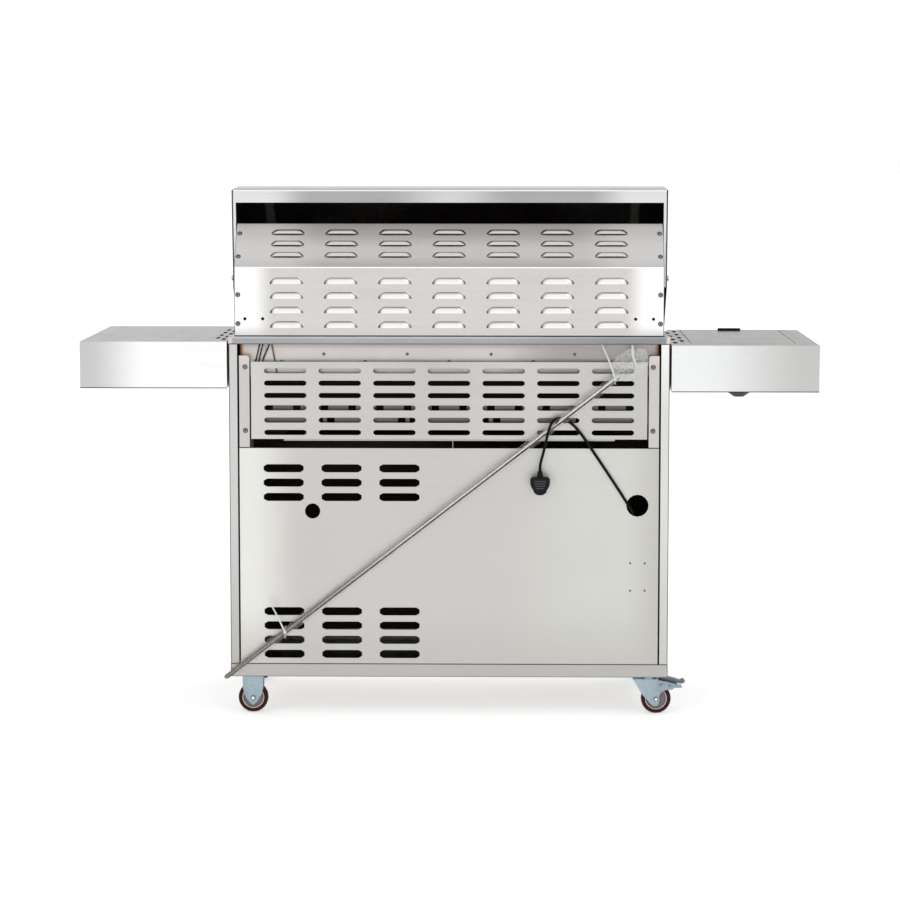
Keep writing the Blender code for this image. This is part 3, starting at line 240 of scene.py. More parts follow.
STEEL = (0.6, 0.585, 0.565)
DARK = (0.045, 0.036, 0.031)        # the unlit insides of the cabinet
FOLD_SHADE = (0.07, 0.06, 0.058)          # painted shade along a folded edge that turns away from the light
EDGE_X = ("X", 0.5426, 0.5436, FOLD_SHADE)
EDGE_Z = ("Z", 0.1342, 0.1332, FOLD_SHADE)
RIM = (0.2, 0.19, 0.185)            # painted shade on the steep end of a louvre
M = {
    "steel": brushed("steel_brushed", STEEL, "X"),
    # base: its top faces inside the cabinet in painted shade, and painted shade lines along its bottom and
    # ends
    "base": brushed("steel_base", (0.475, 0.46, 0.445), "X", (0.3, 0.46), 0.04, 0.16,
        facing_shades=(((0, 0, 1), DARK),), edge_shades=(("Z", 0.102, 0.1008, FOLD_SHADE), ("X", 0.5434, 0.5443, FOLD_SHADE))),
    # front parts: faces turned to the back, inside the cabinet, in painted shade
    "front": brushed("steel_front", STEEL, "X", facing_shades=(((0, 1, 0), DARK),)),
    # side panels: lighter towards the top and darker towards the bottom, the left one lighter than the
    # right, as painted light and shade; inward faces and the edges in painted shade
    "up_left": brushed("steel_side_left", (0.675, 0.67, 0.65), "Z", (0.28, 0.44), 0.04, 0.12, None,
        (("+Z", 0.74, 0.94, (0.84, 0.84, 0.82)), ("+Z", 0.6, 0.13, (0.56, 0.555, 0.535))),
        facing_shades=(((1, 0, 0), DARK),), edge_shades=(EDGE_X, EDGE_Z)),
    "up_right": brushed("steel_side_right", (0.585, 0.59, 0.57), "Z", (0.28, 0.44), 0.04, 0.12, None,
        (("+Z", 0.5, 0.13, (0.465, 0.465, 0.445)),), facing_shades=(((-1, 0, 0), DARK),), edge_shades=(EDGE_X, EDGE_Z)),
    "bracket": brushed("steel_bracket", (0.565, 0.55, 0.54), "Z", (0.3, 0.46), 0.04, 0.14, None,
        (("+Z", 0.87, 0.905, (0.68, 0.6, 0.58)),)),
    # lid: darker towards the back as painted shade
    "lid": brushed("steel_lid", (0.545, 0.54, 0.53), "X", (0.22, 0.38), 0.05, 0.16, None,
        (("+Y", 0.05, 0.18, (0.25, 0.245, 0.24)),)),
    # lid back: lighter at the centre and the ends, a painted highlight line along the flange's top, a
    # painted shade line above it and at the ends
    "lid_back": brushed("steel_lid_back", (0.385, 0.385, 0.39), "X", (0.22, 0.38), 0.05, 0.2, None,
        (("X", 0.17, 0.0, (0.6, 0.6, 0.595)), ("X", 0.34, 0.46, (0.7, 0.7, 0.69)),
        ("Z", 1.307, 1.308, (0.93, 0.93, 0.93)), ("Z", 1.3098, 1.3106, (0.37, 0.36, 0.355))),
        edge_shades=(("X", 0.5383, 0.5391, FOLD_SHADE),)),
    # back panel: lighter at the +x end and darker at the -x end and the bottom as painted light and shade;
    # inside faces and the bottom edge in painted shade
    "panel": brushed("steel_panel", (0.56, 0.548, 0.525), "X", (0.3, 0.46), 0.035, 0.12, None,
        (("+X", 0.36, 0.5, (0.745, 0.74, 0.705)), ("+X", -0.1, -0.36, (0.605, 0.605, 0.575)),
        ("+X", -0.43, -0.54, (0.5, 0.49, 0.465)), ("+Z", 0.3, 0.13, (0.515, 0.505, 0.48), 0.75)),
        facing_shades=(((0, -1, 0), DARK),), edge_shades=(EDGE_Z,)),
    # heat shield: lighter towards +x and darker towards -x as painted light and shade; set-back parts and
    # inward faces in painted shade
    "shield": brushed("steel_shield", (0.555, 0.54, 0.52), "X", (0.26, 0.42), 0.05, 0.26, None,
        (("+X", 0.4, 0.51, (0.64, 0.62, 0.6), 0.7), ("+X", -0.2, -0.45, (0.52, 0.515, 0.5)),
        ("Y", 0.2817, 0.2811, FOLD_SHADE)), facing_shades=(((0, -1, 0), DARK),)),
    # lower louvres: near-white towards the ends, a painted highlight along the top hem and on the raised
    # louvres, darker towards the bottom; painted shade on the louvres' ends and rims and along the panel's
    # edges
    "louvre": brushed("steel_louvres", (0.62, 0.6, 0.585), "X", (0.2, 0.34), 0.06, 0.16, None,
        (("X", 0.43, 0.49, (0.93, 0.93, 0.93)), ("Z", 0.03, 0.0, (0.57, 0.55, 0.535), 0.7),
        ("Z", 0.166, 0.1695, (0.97, 0.96, 0.95)), ("+Y", 0.002, 0.0042, (0.9, 0.89, 0.88))),
        facing_shades=(((1, 0, 0), RIM, 0.12, 0.42), ((-1, 0, 0), mix(RIM, (1, 1, 1), 0.22), 0.14, 0.46),
        ((0, 0, 1), mix(RIM, (1, 1, 1), 0.28), 0.22, 0.62)),
        edge_shades=(("X", 0.5282, 0.529, FOLD_SHADE), ("Z", 0.0022, 0.0012, FOLD_SHADE))),
    # upper louvres: darker up the slope and at the bottom, lighter towards the ends and on the raised
    # louvres as painted light and shade; painted shade on the louvres' ends and rims and along the panel's
    # ends
    "upper": brushed("steel_upper", (0.7, 0.685, 0.675), "X", (0.22, 0.38), 0.05, 0.22, None,
        (("Z", 0.055, 0.115, (0.46, 0.445, 0.435)), ("Z", 0.035, 0.0, (0.54, 0.52, 0.51)),
        ("X", 0.3, 0.44, (0.82, 0.81, 0.8), 0.6), ("+Y", 0.0018, 0.0038, (0.86, 0.84, 0.82))),
        facing_shades=(((1, 0, 0), RIM, 0.12, 0.42), ((-1, 0, 0), RIM, 0.16, 0.46), ((0, 0, 1),
        mix(RIM, (1, 1, 1), 0.18), 0.22, 0.62)), edge_shades=(("X", 0.5286, 0.5294, FOLD_SHADE),)),
    # shelf skirts: near-white as a painted reflection of the bright room, darker towards both outer ends as
    # painted shade
    "skirt": brushed("steel_skirt", (0.9, 0.9, 0.895), "X", (0.24, 0.38), 0.04, 0.12, None,
        (("+X", 0.74, 0.9, (0.54, 0.54, 0.54)), ("+X", -0.3, -0.5, (0.8, 0.81, 0.81)),
        ("+X", -0.6, -0.9, (0.52, 0.52, 0.51)))),
    # shelf tops and the side burner lid: darker than the other steel and darker towards -x, as painted shade
    "shelf_top": brushed("steel_shelf_top", (0.385, 0.378, 0.365), "Y", (0.26, 0.42), 0.06, 0.15, None,
        (("+X", 0.0, -0.4, (0.28, 0.275, 0.262)),)),
    # rail: a painted highlight along its rounded top edge, painted shade towards -x and a painted shadow
    # line along its bottom; pinkish at the ends
    "rail": brushed("steel_rail", (0.37, 0.375, 0.395), "X", (0.2, 0.32), 0.05, 0.25, None,
        (("Z", 0.9455, 0.95, (0.6, 0.6, 0.62)), ("+X", 0.0, -0.5, (0.2, 0.21, 0.22), 0.62),
        ("X", 0.533, 0.54, (0.66, 0.57, 0.55))), edge_shades=(("Z", 0.9352, 0.9332, FOLD_SHADE),)),
    "polished": brushed("steel_polished", (0.72, 0.71, 0.69), "X", (0.1, 0.22), 0.04),
    # spit: near-white as a painted highlight on its upper face, brown-grey towards its low end and dark on
    # its lower faces and upper edge, as painted shade
    "spit": brushed("steel_spit", (0.95, 0.94, 0.92), "X", (0.14, 0.26), 0.05, 0.2, None,
        (("+X", 0.02, 0.42, (0.44, 0.395, 0.365)),),
        facing_shades=(((-0.43, 0.707, -0.556), (0.16, 0.135, 0.12), 0.8, 0.97),
        ((0.61, 0.0, 0.79), (0.12, 0.1, 0.09), 0.8, 0.92))),
    "inner": brushed("steel_inner", (0.25, 0.235, 0.22), "Z", (0.35, 0.55), 0.1, 0.2,
        ((0.16, 0.11, 0.07), 0.45)),
    # drip tray: its rear-facing and top faces in painted shade as unlit insides
    "tray": brushed("steel_tray", (0.46, 0.45, 0.44), "X", facing_shades=(((0, 1, 0), DARK), ((0, 0, 1), DARK)),
        edge_shades=(("Y", 0.2652, 0.2657, (0.46, 0.45, 0.44)),)),
    # firebox wall: darker towards -x, under the rail, below z 0.785 behind the shield and on faces further
    # in, as painted shade; a heat tint at the outer corner, near-black at its very edge; stains
    "wall": brushed("steel_firebox", (0.615, 0.59, 0.57), "X", (0.26, 0.44), 0.06, 0.2,
        ((0.5, 0.44, 0.38), 0.25), (("+X", -0.08, -0.3, (0.37, 0.35, 0.335)),
        ("+Z", 0.915, 0.934, (0.4, 0.36, 0.33)), ("X", 0.507, 0.517, (0.3, 0.15, 0.06)),
        ("X", 0.5145, 0.52, (0.06, 0.03, 0.018)), ("+Z", 0.8, 0.785, (0.2, 0.175, 0.16)),
        ("Y", 0.2558, 0.2552, DARK))),
    # inside of the lid: near-black as painted shade, with darker smears, a painted light band near each end
    # and a darker band beyond it
    "hood_shade": brushed("steel_hood_inside_shade", (0.085, 0.066, 0.056), "Z", (0.35, 0.6), 0.1, 0.8,
        ((0.02, 0.015, 0.012), 0.9), (("X", 0.462, 0.47, (0.62, 0.6, 0.58), 0.8),
        ("X", 0.482, 0.492, (0.06, 0.045, 0.04))), 0.35),
    "zinc": plain("zinc_plate", (0.345, 0.43, 0.475), (0.24, 0.4), 1.0, 0.14, 260.0, 0.1),
    "iron": plain("iron_seasoned", (0.03, 0.029, 0.028), (0.45, 0.7), 0.0, 0.05, 300.0, 0.5),
    "ceramic": plain("ceramic_face", (0.56, 0.47, 0.36), (0.6, 0.8), 0.0, 0.1, 200.0, 0.5),
    "tyre": plain("tyre_maroon", (0.04, 0.003, 0.005), (0.3, 0.45), 0.0, 0.02, 150.0, 0.08,
        specular_ior_level=0.16),
    "cream": plain("wheel_cream", (0.66, 0.6, 0.5), (0.4, 0.55), 0.0, 0.06),
    "hub": plain("wheel_hub_grey", (0.17, 0.17, 0.18), (0.4, 0.55), 0.0, 0.05),
    "black": plain("black_plastic", (0.006, 0.0065, 0.008), (0.34, 0.5), 0.0, 0.01, 500.0, 0.18,
        specular_ior_level=0.14),
    # rib: lighter than the black shell, a painted highlight along the plug's ridges
    "rib": plain("black_plastic_ridge_highlight", (0.04, 0.043, 0.055), (0.34, 0.5), 0.0, 0.02, 500.0, 0.18),
    "cord": plain("cord_pvc", (0.004, 0.004, 0.0045), (0.45, 0.6), 0.0, 0.01, 300.0, 0.12,
        specular_ior_level=0.1),
    "grey": plain("grey_plastic", (0.09, 0.09, 0.1), (0.4, 0.55), 0.0, 0.05),
    "brake": plain("brake_paint", (0.15, 0.155, 0.16), (0.28, 0.42), 0.7, 0.1),
    "nylon": plain("nylon_natural", (0.66, 0.67, 0.66), (0.25, 0.4), 0.0, 0.05),
    "dial": plain("dial_enamel", (0.8, 0.8, 0.78), (0.25, 0.35), 0.0, 0.03),
    "mark": plain("dial_print", (0.02, 0.02, 0.02), (0.4, 0.5), 0.0, 0.02),
    "red": plain("needle_red", (0.5, 0.03, 0.02), (0.3, 0.4), 0.0, 0.03),
    "chrome": plain("chrome_trim", (0.8, 0.8, 0.8), (0.05, 0.12), 1.0, 0.02, 200.0, 0.02),
    "screw": plain("screw_head", (0.27, 0.255, 0.25), (0.16, 0.3), 1.0, 0.06, 300.0, 0.05),
    # shadow: painted shade for unlit insides, screw seats and the shelves' edge strips
    "shadow": plain("painted_shade_dark", (0.012, 0.011, 0.01), (0.6, 0.8), 0.0, 0.02),
    "copper": plain("wire_brown", (0.16, 0.06, 0.03), (0.35, 0.5), 0.0, 0.05),
    "white_wire": plain("wire_white", (0.7, 0.69, 0.66), (0.35, 0.5), 0.0, 0.05),
}


def film_material(name, share, cloudy):
    """Thin clear packing film, seen mostly where it turns away."""
    shader = Shader(name, roughness=0.18)
    crinkle = shader.noise((160.0, 160.0, 160.0), 4.0, 0.6, 0.8)
    shader.link(shader.ramp(crinkle, (0.3, (0.52, 0.52, 0.53)), (0.7, (0.92, 0.92, 0.92))), "Base Color")
    edge = shader.add("ShaderNodeLayerWeight", Blend=0.35).outputs["Facing"]
    alpha = shader.math("ADD", shader.math("MULTIPLY", edge, share), shader.spread(crinkle, *cloudy))
    shader.link(alpha, "Alpha")
    shader.bump(crinkle, 0.6, 0.002)
    return shader.material


M["film"] = film_material("packing_film", 0.24, (0.0, 0.06))
M["clear"] = film_material("nylon_clear", 0.4, (0.1, 0.3))
M["bunched"] = film_material("packing_film_bunched", 0.5, (0.06, 0.46))


# ---------------- shapes
def new_object(name, mesh):
    obj = bpy.data.objects.new(name, mesh)
    bpy.context.scene.collection.objects.link(obj)
    return obj


def finish_piece(obj, body="trolley", instead=()):
    """Ride and replacement of a finished piece."""
    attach(obj, body)
    if instead:
        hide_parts(*instead)
    return obj


def to_object(name, bm, materials, smooth=None):
    """An object from a bmesh; faces smoother than the angle are shaded smooth."""
    mesh = bpy.data.meshes.new(name)
    bm.to_mesh(mesh)
    bm.free()
    for material in materials:
        mesh.materials.append(material)
    if smooth:
        mesh.shade_smooth()
        mesh.set_sharp_from_angle(angle=math.radians(smooth))
    return new_object(name, mesh)


def from_bmesh(name, bm, keys, smooth=None):
    """A solid object from a bmesh, its faces turned outwards, in the materials of those keys."""
    bmesh.ops.recalc_face_normals(bm, faces=bm.faces)
    return to_object(name, bm, [M[key] for key in keys], smooth)


def soften(obj, width, segments=2, angle=35.0, weld=False):
    """Broken edges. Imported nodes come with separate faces, so they are welded first."""
    if weld:
        modifier = obj.modifiers.new("weld", "WELD")
        modifier.merge_threshold = 0.00001
    modifier = obj.modifiers.new("edges", "BEVEL")
    modifier.width = width
    modifier.segments = segments
    modifier.limit_method = "ANGLE"
    modifier.angle_limit = math.radians(angle)
    modifier.use_clamp_overlap = True
    return obj


def solid(name, bm, keys, body="trolley", instead=(), smooth=None, edge=None):
    """A finished piece from a bmesh; edge is the width, segments and angle of its broken edges."""
    obj = from_bmesh(name, bm, keys, smooth)
    if edge:
        soften(obj, *edge)
    return finish_piece(obj, body, instead)


def dress(node, key, width=0.0005, segments=2):
    """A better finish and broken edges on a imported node."""
    obj = NODES[node]
    obj.data.materials.clear()
    obj.data.materials.append(M[key])
    if width:
        soften(obj, width, segments, weld=True)


def lathe(bm, profile, sides, matrix, index=0, indices=None):
    """Turns (radius, height) points about the matrix's z axis."""
    rings = []
    for radius, height in profile:
        if radius < 1e-6:
            rings.append([bm.verts.new(matrix @ Vector((0, 0, height)))])
            continue
        ring = []
        for i in range(sides):
            angle = 2 * math.pi * i / sides
            place = Vector((radius * math.cos(angle), radius * math.sin(angle), height))
            ring.append(bm.verts.new(matrix @ place))
        rings.append(ring)
    for k, (lower, upper) in enumerate(zip(rings, rings[1:])):
        for i in range(sides):
            j = (i + 1) % sides
            if len(lower) == 1 and len(upper) == 1:
                continue
            if len(lower) == 1:
                face = bm.faces.new((lower[0], upper[i], upper[j]))
            elif len(upper) == 1:
                face = bm.faces.new((lower[i], lower[j], upper[0]))
            else:
                face = bm.faces.new((lower[i], lower[j], upper[j], upper[i]))
            face.material_index = indices[k] if indices else index


def corners_of(node):
    """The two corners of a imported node's box."""
    return [Vector(corner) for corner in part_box(node)]


def middle_of(node):
    low, high = corners_of(node)
    return (low + high) / 2


def aim(direction, place):
    """A matrix whose z axis points along the direction, at the place."""
    turn = Vector(direction).normalized().to_track_quat("Z", "Y").to_matrix().to_4x4()
    return Matrix.Translation(place) @ turn


def box(bm, low, high, index=0):
    """A rectangular block with its faces in one material."""
    made = bmesh.ops.create_cube(bm, size=1.0)
    size = [b - a for a, b in zip(low, high)]
    middle = [(a + b) / 2 for a, b in zip(low, high)]
    bmesh.ops.scale(bm, verts=made["verts"], vec=size)
    bmesh.ops.translate(bm, verts=made["verts"], vec=middle)
    for face in {face for vert in made["verts"] for face in vert.link_faces}:
        face.material_index = index
    return made["verts"]


def prism(bm, outline, low, high, axis="Y", index=0):
    """An outline drawn out along an axis. For Y it is (x, z), for X (y, z), for Z (x, y)."""
    def at(u, v, w):
        return {"Y": (u, w, v), "X": (w, u, v), "Z": (u, v, w)}[axis]
    lower = [bm.verts.new(at(u, v, low)) for u, v in outline]
    upper = [bm.verts.new(at(u, v, high)) for u, v in outline]
    faces = [bm.faces.new(lower), bm.faces.new(list(reversed(upper)))]
    for i in range(len(outline)):
        faces.append(bm.faces.new((lower[i - 1], lower[i], upper[i], upper[i - 1])))
    for face in faces:
        face.material_index = index


def tube(name, points, radius, key, sides_resolution=4, cyclic=False, resolution=8):
    """A round curve through the points, as a smooth spline with round ends closed."""
    curve = bpy.data.curves.new(name, "CURVE")
    curve.dimensions = "3D"
    curve.bevel_depth = radius
    curve.bevel_resolution = sides_resolution
    curve.resolution_u = resolution
    curve.use_fill_caps = True
    spline = curve.splines.new("BEZIER")
    spline.bezier_points.add(len(points) - 1)
    spline.use_cyclic_u = cyclic
    vectors = [Vector(point) for point in points]
    ends = [vectors[0] * 2 - vectors[1]] + vectors + [vectors[-1] * 2 - vectors[-2]]
    for i, knot in enumerate(spline.bezier_points):
        step = (ends[i + 2] - ends[i]) / 6
        knot.handle_left_type = knot.handle_right_type = "FREE"
        knot.co = vectors[i]
        knot.handle_left = vectors[i] - step
        knot.handle_right = vectors[i] + step
    curve.materials.append(M[key])
    return new_object(name, curve)


# ---------------- power cord
SUPPLY_X, SUPPLY_TOP = -0.4685, 0.4033
PLUG_X, PLUG_Y, PLUG_TOP = -0.2255, BACK + 0.038, 0.623
CORD_WIDTH = 0.007
CORD_ROUTE = (
    (SUPPLY_X, BACK - 0.0225, 0.4237),
    (SUPPLY_X, BACK - 0.0225, 0.44),
    (-0.468, BACK - 0.0215, 0.462),
    (-0.464, BACK - 0.0165, 0.485),
    (-0.459, BACK - 0.0085, 0.504),
    (-0.452, BACK + 0.0, 0.5215),
    (-0.439, BACK + 0.0075, 0.543),
    (-0.414, BACK + 0.011, 0.582),
    (-0.387, BACK + 0.011, 0.623),
    (-0.358, BACK + 0.011, 0.666),
    (-0.34, BACK + 0.011, 0.693),
    (-0.319, BACK + 0.011, 0.721),
    (-0.299, BACK + 0.013, 0.7405),
    (-0.281, BACK + 0.019, 0.7505),
    (-0.265, BACK + 0.0295, 0.7515),
    (-0.2525, BACK + 0.0395, 0.739),
    (-0.2445, BACK + 0.0435, 0.717),
    (-0.2385, BACK + 0.043, 0.69),
    (-0.2325, BACK + 0.0405, 0.665),
    (-0.227, BACK + 0.0384, 0.644),
    (PLUG_X, PLUG_Y, PLUG_TOP + 0.011),
    (PLUG_X, PLUG_Y, PLUG_TOP + 0.0004),
)


def rounded(u, v, half_u, half_v, radius, steps=6):
    """The outline of a rectangle with round corners, counter-clockwise."""
    points = []
    for corner, (su, sv) in enumerate(((1, 1), (-1, 1), (-1, -1), (1, -1))):
        for i in range(steps + 1):
            angle = math.pi / 2 * (corner + i / steps)
            points.append((u + su * (half_u - radius) + radius * math.cos(angle),
                           v + sv * (half_v - radius) + radius * math.sin(angle)))
    return points


def ribs(count, start, pitch, radius, taper, land, step, dip):
    """The profile of rings along a tapered sleeve: each one a land, a step down and a groove."""
    points = []
    for i in range(count):
        z = start + i * pitch
        r = radius - taper * z
        points += [(r, z), (r, z + land), (r - dip, z + step), (r - dip, z + pitch * 14 / 15)]
    return points


def plug():
    """A generic three-pin plug that hangs with its pins to the panel: shell, ribbed neck, pins."""
    bottom, shoulder = PLUG_TOP - 0.06, PLUG_TOP - 0.015
    half = 0.0244
    outline = []
    for i in range(17):
        angle = math.pi * (1 + i / 16)
        outline.append((0.0165 * math.cos(angle), bottom + 0.012 + 0.012 * math.sin(angle)))
    outline += [(half - 0.0022, bottom + 0.021), (half, bottom + 0.03), (half, shoulder - 0.004),
                (half - 0.007, shoulder)]
    outline += [(-u, z) for u, z in reversed(outline[17:])]
    bm = bmesh.new()
    prism(bm, [(PLUG_X + u, z) for u, z in outline], PLUG_Y - 0.012, PLUG_Y + 0.012)
    shell = solid("plug_shell", bm, ["black"], instead=("mains_plug",), smooth=40,
                  edge=(0.0035, 4, 50))
    bm = bmesh.new()
    neck = [(0.0, 0.0), (0.0088, 0.0)]
    neck += ribs(5, 0.002, 0.0045, 0.0088, 0.0028 / 0.026, 0.0026, 0.003, 0.0009)
    neck += [(0.0058, 0.0246), (0.005, 0.0258), (0.0038, 0.0262), (0.0, 0.0262)]
    lathe(bm, neck, 28, Matrix.Translation((PLUG_X, PLUG_Y, PLUG_TOP - 0.0262)))
    # the ribs are lighter than the shell: a painted highlight on each ridge
    for i, reach in enumerate((0.0105, 0.0125, 0.0135, 0.0145)):
        rib = rounded(PLUG_X, bottom + 0.0175 + i * 0.0058, reach, 0.0012, 0.0011)
        prism(bm, rib, PLUG_Y + 0.0112, PLUG_Y + 0.0126, index=1)
    ribbed = solid("plug_neck", bm, ["black", "rib"], smooth=40)
    bm = bmesh.new()
    for x, z, width, height, length in (
            (0.0, 0.008, 0.004, 0.0085, 0.0225),
            (-0.0111, 0.03, 0.0064, 0.004, 0.0177),
            (0.0111, 0.03, 0.0064, 0.004, 0.0177)):
        box(bm, (PLUG_X + x - width / 2, PLUG_Y - 0.012 - length, bottom + z - height / 2),
            (PLUG_X + x + width / 2, PLUG_Y - 0.011, bottom + z + height / 2))
    pins = solid("plug_pins", bm, ["chrome"], edge=(0.0005, 2))
    return [shell, ribbed, pins]


def power_cord():
    cord = tube("power_cord_line", CORD_ROUTE, CORD_WIDTH / 2, "cord", 5, resolution=6)
    finish_piece(cord, instead=("power_cord",))
    bm = bmesh.new()
    relief = [(0.0, 0.0), (0.0062, 0.0), (0.0062, 0.004), (0.0058, 0.0045)]
    relief += ribs(4, 0.006, 0.0075, 0.0058, 0.0016 / 0.036, 0.0045, 0.0052, 0.0007)
    relief += [(0.0038, 0.036), (0.0035, 0.0365)]
    lathe(bm, relief, 24, Matrix.Translation((SUPPLY_X, BACK - 0.0225, SUPPLY_TOP + 0.02)))
    gland = solid("supply_strain_relief", bm, ["black"], smooth=40)
    ends = plug() + [gland]


power_cord()


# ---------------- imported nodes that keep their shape
def dress_nodes():
    for node in ("door_frame", "control_panel", "door_left", "door_right"):
        dress(node, "front")
    dress("base_tray", "base")
    dress("drip_tray", "tray")
    dress("side_burner_lid", "shelf_top")
    dress("cabinet_back_panel", "panel", 0.0003)
    dress("heat_shield", "shield", 0.0003)
    dress("rear_rail", "rail", 0.003, 5)
    for side in ("left", "right"):
        dress("side_panel_" + side, "up_" + side)
        dress("shield_bracket_" + side, "bracket", 0.0004)
        dress("cooking_grate_" + side, "iron", 0.0012)
    for end in ("rear", "front"):
        dress("fixed_fork_" + end, "zinc", 0.0006)
        dress("swivel_fork_" + end, "zinc", 0.0006)
        dress("caster_plate_" + end, "zinc", 0.0006)
        dress("brake_pedal_" + end, "brake", 0.0009)
    dress("firebox", "wall", 0.0003)
    dress("hood_frame", "inner", 0.0004)
    dress("rear_burner", "ceramic", 0.0008)
    dress("power_supply", "grey", 0.0015, 3)
    dress("spit_rod", "spit", 0.0011)


dress_nodes()


# ---------------- screws
def carve(obj, cutter, crossing=False):
    """The object's mesh with the cutter's shape taken out of it. The cutter is removed."""
    cut = obj.modifiers.new("cut", "BOOLEAN")
    cut.object = cutter
    cut.solver = "EXACT"
    cut.use_self = crossing
    bpy.context.view_layer.update()
    graph = bpy.context.evaluated_depsgraph_get()
    mesh = bpy.data.meshes.new_from_object(obj.evaluated_get(graph))
    bpy.data.objects.remove(cutter)
    return mesh


def cross_head(radius=0.005, height=0.0026):
    """One pan head with a cross recess and a painted shadow ring for its seat, its z axis outwards."""
    bm = bmesh.new()
    dome = [(0.0, 0.0)]
    dome += [(radius * 1.26, 0.0), (radius * 1.26, 0.0005), (radius, 0.0007)]
    for i in range(7):
        angle = math.pi / 2 * i / 6
        dome.append((radius * (0.62 + 0.36 * math.cos(angle)), 0.0008 + (height - 0.0008) * math.sin(angle)))
    dome.append((0.0, height))
    lathe(bm, dome, 24, Matrix.Identity(4), indices=[1, 1, 1] + [0] * 8)
    head = from_bmesh("screw_pattern", bm, ["screw", "shadow"], 30)
    cutter_bm = bmesh.new()
    for across, along in ((0.0007, radius * 0.52), (radius * 0.52, 0.0007)):
        box(cutter_bm, (-across, -along, height - 0.0014), (across, along, height + 0.001))
    cutter = from_bmesh("screw_cut", cutter_bm, ["shadow"])
    mesh = carve(head, cutter, crossing=True)
    bpy.data.objects.remove(head)
    return mesh


SCREW = cross_head()


def screws(name, places, direction=(0, 1, 0), scale=1.0, body="trolley", seed=1):
    """A set of screws in one piece, each turned by its own angle."""
    bm = bmesh.new()
    turn = random.Random(seed)
    for place in places:
        matrix = aim(direction, place) @ Matrix.Rotation(turn.uniform(0, math.pi), 4, "Z")
        matrix = matrix @ Matrix.Scale(scale, 4)
        before = len(bm.verts)
        bm.from_mesh(SCREW)
        bm.verts.ensure_lookup_table()
        bmesh.ops.transform(bm, matrix=matrix, verts=bm.verts[before:])
    return finish_piece(to_object(name, bm, SCREW.materials, 40), body)


# ---------------- louvred panels
PANEL_HALF = 0.53
LOUVRE_PITCH, LOUVRE_WIDTH, LOUVRE_HEIGHT = 0.1336, 0.082, 0.0162
LOUVRE_RISE = 0.0046
ROW_PITCH = 0.036
LOUVRE_END = 0.019         # length of a louvre's rounded end
LOWER_Z = (0.9527, 1.1235)
LOWER_FIRST_ROW, UPPER_FIRST_ROW = 0.9729, 0.03      # a height, and a length up the slope
UPPER_RUN, UPPER_RISE = 0.0905, 0.1025
PANEL_SCREW_X = 0.5212


def louvre_height(u, v):
    """How far a louvre stands out: full along its lip, round at its ends, closing to its top edge."""
    end = max(0.0, abs(u) - LOUVRE_WIDTH / 2 + LOUVRE_END) / LOUVRE_END
    r = (end ** 1.7 + (v / LOUVRE_HEIGHT) ** 1.7) ** (1 / 1.7)
    if r >= 1.0:
        return 0.0
    return LOUVRE_RISE * (1.0 - r ** 2.6) ** 0.6


def louvred_panel(name, height, first, rows, key):
    """A pressed sheet in its own x-z plane that faces +y, with louvres open at the bottom."""
    bm = bmesh.new()
    across, up = 30, 12
    xs = [-PANEL_HALF]
    for column in range(-3, 4):
        middle = column * LOUVRE_PITCH
        for i in range(across + 1):
            share = i / across
            ease = 0.5 - 0.5 * math.cos(math.pi * share)
            xs.append(middle + LOUVRE_WIDTH * ((0.35 * share + 0.65 * ease) - 0.5))
    xs.append(PANEL_HALF)
    zs = [0.0]
    for row in range(rows):
        for j in range(up + 1):
            zs.append(first + row * ROW_PITCH + LOUVRE_HEIGHT * (j / up) ** 1.1)
    zs.append(height)

    def column_of(x):
        nearest = round(x / LOUVRE_PITCH)
        return abs(nearest) <= 3, x - nearest * LOUVRE_PITCH

    grid = {}
    for i, x in enumerate(xs):
        inside, u = column_of(x)
        for j, z in enumerate(zs):
            row = (j - 1) // (up + 1)
            rise = 0.0
            if inside and abs(u) <= LOUVRE_WIDTH / 2 + 1e-6 and 0 < j < len(zs) - 1:
                rise = louvre_height(u, z - (first + row * ROW_PITCH))
            grid[i, j] = bm.verts.new((x, rise, z))
            at_lip = 0 < j < len(zs) - 1 and (j - 1) % (up + 1) == 0
            if at_lip and rise > 1e-6:
                grid[i, j, "flat"] = bm.verts.new((x, 0.0, z))
    for i in range(len(xs) - 1):
        for j in range(len(zs) - 1):
            top_left = grid.get((i, j + 1, "flat"), grid[i, j + 1])
            top_right = grid.get((i + 1, j + 1, "flat"), grid[i + 1, j + 1])
            bm.faces.new((grid[i, j], grid[i + 1, j], top_right, top_left))
    bm.normal_update()
    for face in bm.faces:
        if face.normal.y < 0:
            face.normal_flip()
        face.smooth = any(vert.co.y > 1e-6 for vert in face.verts)
    for edge in bm.edges:
        edge.smooth = all(face.smooth for face in edge.link_faces) and len(edge.link_faces) == 2
    obj = to_object(name, bm, [M[key]])
    sheet = obj.modifiers.new("sheet", "SOLIDIFY")
    sheet.thickness = 0.0013
    sheet.offset = -1.0
    return obj


def drill(obj, places, radius, name):
    """Round holes through a sheet, cut once and kept as its mesh."""
    bm = bmesh.new()
    turns = [i * math.pi / 12 for i in range(24)]
    for x, z in places:
        ring = [(x + radius * math.cos(turn), z + radius * math.sin(turn)) for turn in turns]
        prism(bm, ring, -0.02, 0.02)
    cutter = from_bmesh(name, bm, ["shadow"])
    mesh = carve(obj, cutter)
    obj.modifiers.clear()
    obj.data = mesh


